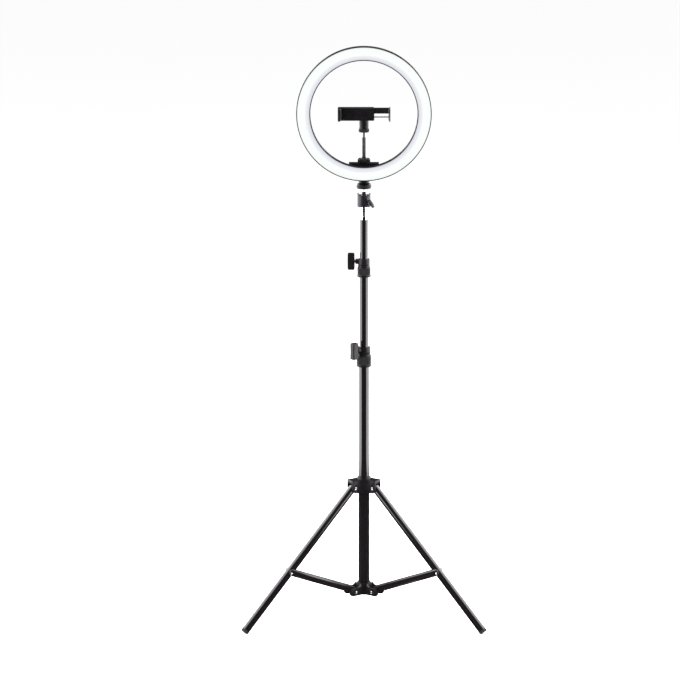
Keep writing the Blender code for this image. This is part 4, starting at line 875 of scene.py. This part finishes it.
BOWL_INNER_R = 8.8 * MM
BOWL_OUTER_R = 10.2 * MM
centre = Matrix.Translation(Vector(joints["ball_tilt"]["pos_m"]))
turned("ball_seat_bowl", bowl_profile(BOWL_INNER_R, BOWL_OUTER_R, -28, -84, 12), 72, nylon, "ball_seat",
       centre, "ball_seat", "nylon", closed=True)

BALL_R = 8.5 * MM
STUD_ROOT = 14 * MM
BLACK_OXIDE_AND_PAINTED_REFLECTION_BELOW = 11.7 * MM
NECK_MM = ((3.0, 13.9), (3.0, 12.2), (3.4, 11.6), (4.7, 10.3), (4.8, 10.0), (4.7, 9.7), (3.3, 8.6),
           (3.0, 8.3))
arc = [(BALL_R * math.cos(math.radians(a)), BALL_R * math.sin(math.radians(a)))
       for a in range(69, -91, -5)]
profile = (stud(STUD_ROOT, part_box("ball_stem")[1].z - ball_z) + [(r * MM, z * MM) for r, z in NECK_MM]
           + arc + [(0, -BALL_R)])
stem = revolve("ball_stem_turned", profile, 96)
blackened = surface("black_oxide_steel", "#1B191D", 0.3)
spread(blackened, grain(blackened, 0.6 * MM, 0.004 * MM, 3.0), "Roughness", 0.24, 0.38)
stem.materials.append(chrome)
stem.materials.append(blackened)
# Faces below this height take black oxide: the ball's own black, and on the double cone a painted dark
# reflection.
for face in stem.polygons:
    face.material_index = 1 if face.center.z < BLACK_OXIDE_AND_PAINTED_REFLECTION_BELOW else 0
put("ball_stem_turned", stem, chrome, "ring", centre, ["ball_stem"])

# ---- Lock disc ----
# A moulded disc on the stud that jams against the lamp's bracket. Its edge has a diamond knurl
# between two bevels, and the same black ABS shows small grey glints on the knurl's points.
low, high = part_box("lock_disc")
disc_r = high.x
KNURLS = 60
KNURL_TALL = 1.4 * MM
KNURL_DEEP = 0.55 * MM
KNURL_ROWS = 10
BAND_IN = 2.4 * MM
BEVEL = 2.2 * MM
rows = [low.z + BAND_IN + (high.z - low.z - 2 * BAND_IN) * k / KNURL_ROWS for k in range(KNURL_ROWS, -1, -1)]
profile = ([(disc_r - 3.2 * MM, high.z), (disc_r - 1.8 * MM, high.z - 0.3 * MM),
            (disc_r - NEAR, high.z - BEVEL)]
           + [(disc_r, z) for z in rows]
           + [(disc_r - NEAR, low.z + BEVEL), (disc_r - 1.0 * MM, low.z + 0.2 * MM),
              (disc_r - 1.6 * MM, low.z), (STUD_HOLE_R, low.z), (STUD_HOLE_R, high.z)])


def knurled(angle, radius, height):
    """Cuts a diamond knurl into the disc's edge, as two crossed sets of slanting grooves."""
    if radius < disc_r - HERE:
        return radius, height
    slant = (height - low.z) / KNURL_TALL * math.pi / 2
    ridge = max(abs(math.sin(KNURLS / 2 * angle + slant)), abs(math.sin(KNURLS / 2 * angle - slant)))
    return radius - KNURL_DEEP * (1 - ridge), height


turned("lock_disc_knurled", profile, KNURLS * 6, abs_black, "lock_disc", column, "lock_disc", "black_abs",
       closed=True, change=knurled, sharp=60)

# ---- Ring: housing, board and diffuser ----
# A moulded black ABS trough with cooling slots, held by six countersunk screws. A white-masked LED
# board lies in it, under a crowned opal acrylic cover pressed in between the trough's thin rims. It
# is lit: the acrylic glows an even cool white, and towards its edges that glow is painted down to a grey
# lavender as painted shade.
low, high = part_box("rear_housing")
ring_centre = Vector((0, high.y, (low.z + high.z) / 2))
ring_at = Matrix.Translation(ring_centre) @ Matrix.Rotation(math.pi / 2, 4, "X")
outer = (high.x - low.x) / 2
deep = high.y - low.y
RING_BAND = 27 * MM
wall = 1.4 * MM
curve = 6 * MM
RIM_EDGE = 0.3 * MM
SEAM_DEEP = 0.35 * MM
SEAM = (5 * MM, 5.3 * MM, 5.9 * MM, 6.2 * MM)
inner = outer - RING_BAND


def quarter(centre_r, centre_h, radius, start, end, steps=8):
    """Points on an arc of a profile, with its angles in degrees."""
    return [(centre_r + radius * math.cos(math.radians(start + (end - start) * k / steps)),
             centre_h + radius * math.sin(math.radians(start + (end - start) * k / steps)))
            for k in range(steps + 1)]


VENT_STEP = math.radians(2)
VENT_DEEP = 0.7 * MM
VENT_END = 0.5 * MM
VENT_IN = 3.2 * MM
VENTS_WITHIN = 3.3
VENT_HALF = 0.2
SCREW_STEP = math.radians(60)
RING_STEPS = 720
vent_out = outer - curve - VENT_IN
vent_in = inner + curve + VENT_IN


def vented(angle, radius, height):
    """Seven radial cooling slots midway between each two screws."""
    from_middle = (angle + SCREW_STEP / 2) % SCREW_STEP - SCREW_STEP / 2
    between = vent_in - HERE < radius < vent_out + HERE
    if height == 0 and between and abs(from_middle) < VENTS_WITHIN * VENT_STEP:
        phase = abs(from_middle / VENT_STEP - round(from_middle / VENT_STEP))
        return radius, VENT_DEEP if phase < VENT_HALF else 0
    return radius, height


profile = ([(outer - RIM_EDGE, deep), (outer, deep - RIM_EDGE), (outer, deep - SEAM[0]),
            (outer - SEAM_DEEP, deep - SEAM[1]), (outer - SEAM_DEEP, deep - SEAM[2]),
            (outer, deep - SEAM[3])]
           + quarter(outer - curve, curve, curve, 0, -90)
           + [(vent_out + VENT_END, 0), (vent_out, 0), (vent_in, 0), (vent_in - VENT_END, 0)]
           + quarter(inner + curve, curve, curve, 270, 180)
           + [(inner, deep - RIM_EDGE), (inner + RIM_EDGE, deep), (inner + wall, deep)]
           + quarter(inner + curve, curve, curve - wall, 180, 270)
           + quarter(outer - curve, curve, curve - wall, -90, 0) + [(outer - wall, deep)])
turned("ring_housing", profile, RING_STEPS, abs_black, "ring", ring_at, "rear_housing", "black_abs",
       closed=True, change=vented)

SCREW_MM = ((0, 1.0), (2.6, 1.0), (2.6, -0.05), (2.4, -0.2), (1.3, -0.45), (0.9, -1.2), (0, -1.2))
SCREW_UNDER = 0.9 * MM
screw = revolve("housing_screw", [(r * MM, z * MM) for r, z in SCREW_MM], 64)
middle_r = (outer + inner) / 2
for k in range(6):
    angle = SCREW_STEP * (k + 0.5)
    place = Vector((middle_r * math.cos(angle), -SCREW_UNDER, middle_r * math.sin(angle)))
    put(f"housing_screw_{k + 1}", screw, zinc, "ring",
        Matrix.Translation(ring_centre + place) @ Matrix.Rotation(math.pi / 2, 4, "X"))

solder_mask = surface("white_solder_mask", "#E9EAE4", 0.4)
spread(solder_mask, grain(solder_mask, 4 * MM, 0.01 * MM), "Base Color", "#E2E3DC", "#F0F1EC")
BOARD_EDGE = 0.2 * MM
keep("led_board", solder_mask, BOARD_EDGE, steps=1)

opal = surface("opal_acrylic_lit", "#3A3C3D", 0.35, also={"Emission Strength": 0.97})
tree = opal.node_tree
place = add(tree, "ShaderNodeTexCoord")
parts = add(tree, "ShaderNodeSeparateXYZ", {0: place.outputs["Object"]})
flat = add(tree, "ShaderNodeCombineXYZ", {0: parts.outputs[0], 1: parts.outputs[1]})
length = add(tree, "ShaderNodeVectorMath", {0: flat.outputs[0]}, operation="LENGTH")
across = add(tree, "ShaderNodeMapRange", {"Value": length.outputs["Value"], "From Min": inner,
                                          "From Max": outer})
# Emission colour by radius: the lamp's own glow in the middle, with painted shade darkening it to a grey
# lavender at both edges of the band. The dark base colour leaves the look to this glow.
glow_with_painted_edge_shade = add(tree, "ShaderNodeValToRGB", {"Fac": across.outputs[0]})
ramp = glow_with_painted_edge_shade.color_ramp
ramp.interpolation = "EASE"
ramp.elements[0].position = 0.0
ramp.elements[0].color = linear("#B4B2C2")
ramp.elements[1].position = 1.0
ramp.elements[1].color = linear("#CDD3D2")
for position, code in ((0.2, "#DADBE1"), (0.48, "#F2F6F3"), (0.84, "#EDF2EF")):
    ramp.elements.new(position).color = linear(code)
tree.links.new(glow_with_painted_edge_shade.outputs[0], tree.nodes["Principled BSDF"].inputs["Emission Color"])
grain(opal, 5 * MM, 0.02 * MM)

low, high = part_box("diffuser")
edge_out = (high.x - low.x) / 2
COVER_GAP = 0.3 * MM
COVER_THICK = 1.6 * MM
COVER_SUNK = 0.2 * MM
CROWN = 1.2 * MM
CROWN_ROWS = 16
edge_in = inner + wall + COVER_GAP
rows = [k / CROWN_ROWS for k in range(CROWN_ROWS + 1)]
profile = ([(edge_out, deep - COVER_THICK), (edge_in, deep - COVER_THICK)]
           + [(edge_in + (edge_out - edge_in) * t, deep - COVER_SUNK
               + (CROWN + COVER_SUNK) * (1 - abs(2 * t - 1) ** 3)) for t in rows])
turned("opal_cover", profile, 256, opal, "ring", ring_at, "diffuser", "opal_diffuser", closed=True,
       sharp=60)

# ---- Cable grommet and mount bracket ----
# The grommet is a soft rubber moulding with bending ribs, in the housing's back. The bracket is a
# moulded ABS block screwed to the housing, with a conical neck that takes the ball head's stud.
GROMMET_EDGE = 0.3 * MM
BRACKET_EDGE = 0.6 * MM
keep("cable_grommet", rubber, GROMMET_EDGE)
keep("mount_block", abs_black, BRACKET_EDGE, steps=3)

# ---- Phone holder ----
# A knurled foot screws onto the bracket, and a blackened steel post with a ball stands in it. A nylon
# cap and a knurled ring nut hold the ball under the clamp body. The jaw slides out on a flat bar and
# a guide rod against a coil spring, and both jaws have ribbed rubber pads.
low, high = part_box("holder_foot")
foot_at = Matrix.Translation(Vector(((low.x + high.x) / 2, (low.y + high.y) / 2, 0)))
foot_r = high.x
FOOT_KNURLS = 48
FOOT_KNURL_DEEP = 0.5 * MM
FOOT_BAND = (1.2 * MM, 5.4 * MM)
FOOT_TOP = 8 * MM
FOOT_BEVEL = 0.3 * MM
NECK_RING_R = 3.3 * MM
BAND_ROWS = 6
rows = [low.z + FOOT_BAND[0] + FOOT_BAND[1] * k / BAND_ROWS for k in range(BAND_ROWS, -1, -1)]
profile = ([(NECK_RING_R, high.z), (NECK_RING_R + 0.5 * MM, high.z), (5.2 * MM, high.z - 1.1 * MM),
            (6.0 * MM, low.z + FOOT_TOP), (foot_r - 1.2 * MM, low.z + FOOT_TOP),
            (foot_r - FOOT_BEVEL, low.z + 7.2 * MM)]
           + [(foot_r, z) for z in rows]
           + [(foot_r - FOOT_BEVEL, low.z + 0.7 * MM), (foot_r - 1.0 * MM, low.z), (STUD_HOLE_R, low.z),
              (STUD_HOLE_R, high.z - FOOT_BEVEL)])


def fluted(edge, count, depth):
    """A change for revolve, which cuts straight round grooves into an edge of that radius."""
    def change(angle, radius, height):
        if radius < edge - HERE:
            return radius, height
        return radius - depth * (0.5 + 0.5 * math.cos(count * angle)), height
    return change


turned("holder_foot_knurled", profile, FOOT_KNURLS * 6, abs_black, "holder_post", foot_at, "holder_foot",
       "black_abs", closed=True, change=fluted(foot_r, FOOT_KNURLS, FOOT_KNURL_DEEP), sharp=50)

low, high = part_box("holder_post")
tip_r = 6.5 * MM
POST_R = 4.0 * MM
POST_LINE_R = 3.6 * MM
POST_NECK_R = 2.2 * MM
POST_SCREW_R = 3.0 * MM
ball_at = joints["clamp_tilt"]["pos_m"][2]
arc = [(tip_r * math.cos(math.radians(a)), ball_at + tip_r * math.sin(math.radians(a)))
       for a in range(85, -69, -7)]
waist = ball_at - tip_r
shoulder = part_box("holder_foot")[1].z + 0.3 * MM
profile = ([(0, ball_at + tip_r)] + arc
           + [(POST_NECK_R, waist - 0.6 * MM), (POST_NECK_R, waist - 9.6 * MM),
              (3.4 * MM, waist - 11.4 * MM), (POST_R, waist - 12.2 * MM), (POST_R, shoulder + 6 * MM),
              (POST_LINE_R, shoulder + 5.6 * MM), (POST_LINE_R, shoulder + 4.6 * MM),
              (POST_R, shoulder + 4.2 * MM), (POST_R, shoulder + 0.4 * MM), (POST_LINE_R, shoulder),
              (POST_SCREW_R, shoulder)]
           + threaded(POST_SCREW_R, low.z + STUD_LEAD, shoulder, STUD_PITCH, 0.45 * MM)
           + [(POST_SCREW_R - 0.6 * MM, low.z), (0, low.z)])
turned("holder_post_turned", profile, 72, blackened, "holder_post", foot_at, "holder_post", "zinc_steel")

CAP_INNER_R = 6.8 * MM
CAP_OUTER_R = 7.8 * MM
cap_at = Matrix.Translation(Vector(joints["clamp_tilt"]["pos_m"]))
cap = [(r, -z) for r, z in reversed(bowl_profile(CAP_INNER_R, CAP_OUTER_R, -35, -84, 10))]
turned("clamp_seat_cap", cap, 64, nylon, "clamp_seat", cap_at, "clamp_seat", "nylon", closed=True)

low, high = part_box("ball_nut")
nut_r = (high.x - low.x) / 2
nut_low = low.z - ball_at
nut_high = high.z - ball_at
NUT_KNURLS = 40
NUT_KNURL_DEEP = 0.45 * MM
NUT_BAND_LOW = 1.2 * MM
NUT_BAND_ENDS = 2.0 * MM
NUT_MOUTH_R = 6.0 * MM
THROAT_R = 7.8 * MM
CLAMP_EDGE = 0.5 * MM
JAW_EDGE = 0.3 * MM
rows = [nut_low + NUT_BAND_LOW + (nut_high - nut_low - NUT_BAND_ENDS) * k / BAND_ROWS
        for k in range(BAND_ROWS, -1, -1)]
profile = ([(nut_r - 0.4 * MM, nut_high)] + [(nut_r, z) for z in rows]
           + [(nut_r - 0.9 * MM, nut_low), (NUT_MOUTH_R + 0.2 * MM, nut_low),
              (NUT_MOUTH_R, nut_low + 0.3 * MM), (NUT_MOUTH_R, nut_low + 1 * MM),
              (THROAT_R, nut_low + 3 * MM), (THROAT_R, nut_high)])
turned("ball_nut_knurled", profile, NUT_KNURLS * 6, abs_black, "phone_clamp", cap_at, "ball_nut",
       "black_abs", closed=True, change=fluted(nut_r, NUT_KNURLS, NUT_KNURL_DEEP), sharp=50)
keep("clamp_back", abs_black, CLAMP_EDGE)
keep("sliding_jaw", abs_black, JAW_EDGE)
PAD_RIBS = 7
PAD_LONG, PAD_WIDE = 112, 12
PAD_BASE = 0.55
PAD_SIDE = 0.25


def ribbed_pad(name, node, face):
    """A rubber pad with seven round ribs across its gripping face, which looks along face on X."""
    low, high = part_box(node)
    size = high - low
    long, wide = PAD_LONG, PAD_WIDE
    shape = bmesh.new()
    back_x = low.x if face > 0 else high.x
    front, back = [], []
    for i in range(long + 1):
        z = low.z + size.z * i / long
        rib = 0.5 - 0.5 * math.cos(math.tau * PAD_RIBS * i / long)
        for row, x in ((front, back_x + face * size.x * (PAD_BASE + (1 - PAD_BASE) * rib)), (back, back_x)):
            line = []
            for k in range(wide + 1):
                edge = min(1.0, 4 * min(k, wide - k) / wide + PAD_SIDE) if row is front else 1.0
                line.append(shape.verts.new((back_x + (x - back_x) * edge, low.y + size.y * k / wide, z)))
            row.append(line)
    for grid, flip in ((front, False), (back, True)):
        for i in range(long):
            for k in range(wide):
                corners = (grid[i][k], grid[i + 1][k], grid[i + 1][k + 1], grid[i][k + 1])
                shape.faces.new(tuple(reversed(corners)) if flip else corners)
    for i in range(long):
        for k in (0, wide):
            shape.faces.new((front[i][k], back[i][k], back[i + 1][k], front[i + 1][k]))
    for i in (0, long):
        for k in range(wide):
            shape.faces.new((front[i][k], back[i][k], back[i][k + 1], front[i][k + 1]))
    return solid_mesh(shape, name, 50)


put("fixed_pad_ribbed", ribbed_pad("fixed_pad_ribbed", "fixed_jaw_pad", 1), rubber, "phone_clamp",
    Matrix.Identity(4), ["fixed_jaw_pad"])
put("sliding_pad_ribbed", ribbed_pad("sliding_pad_ribbed", "sliding_jaw_pad", -1), rubber, "sliding_jaw",
    Matrix.Identity(4), ["sliding_jaw_pad"])

low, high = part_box("guide_rod")
rod_at = (Matrix.Translation(Vector((0, (low.y + high.y) / 2, (low.z + high.z) / 2)))
          @ Matrix.Rotation(math.pi / 2, 4, "Y"))
ROD_R = 1.2 * MM
ROD_EDGE = 0.3 * MM
profile = fillet([(0, high.x), (ROD_R, high.x), (ROD_R, low.x), (0, low.x)], ROD_EDGE)
turned("guide_rod_ground", profile, 48, zinc, "sliding_jaw", rod_at, "guide_rod", "zinc_steel")

low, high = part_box("return_spring")
wire_r = 0.4 * MM
coil_r = (high.z - low.z) / 2 - wire_r
turns, sides, round_steps = 16, 28, 10
start, end = low.x + wire_r, high.x - wire_r
shape = bmesh.new()
loops = []
for k in range(turns * sides + 1):
    share = k / (turns * sides)
    angle = math.tau * k / sides
    out = Vector((0, math.cos(angle), math.sin(angle)))
    spot = Vector((start + (end - start) * share, 0, 0)) + out * coil_r
    pitch = (end - start) / turns
    along = Vector((pitch / math.tau, -math.sin(angle) * coil_r, math.cos(angle) * coil_r)).normalized()
    side_way = along.cross(out).normalized()
    loops.append([shape.verts.new(spot + wire_r * (out * math.cos(math.tau * j / round_steps)
                                                   + side_way * math.sin(math.tau * j / round_steps)))
                  for j in range(round_steps)])
for near, far in zip(loops, loops[1:]):
    for j in range(round_steps):
        nxt = (j + 1) % round_steps
        shape.faces.new((near[j], near[nxt], far[nxt], far[j]))
shape.faces.new(loops[0])
shape.faces.new(loops[-1])
put("return_spring_coil", solid_mesh(shape, "return_spring_coil"), zinc, "phone_clamp",
    Matrix.Translation(Vector((0, (low.y + high.y) / 2, (low.z + high.z) / 2))), ["return_spring"])

# ---- Sizes ----
# The finished model's box.
low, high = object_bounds()
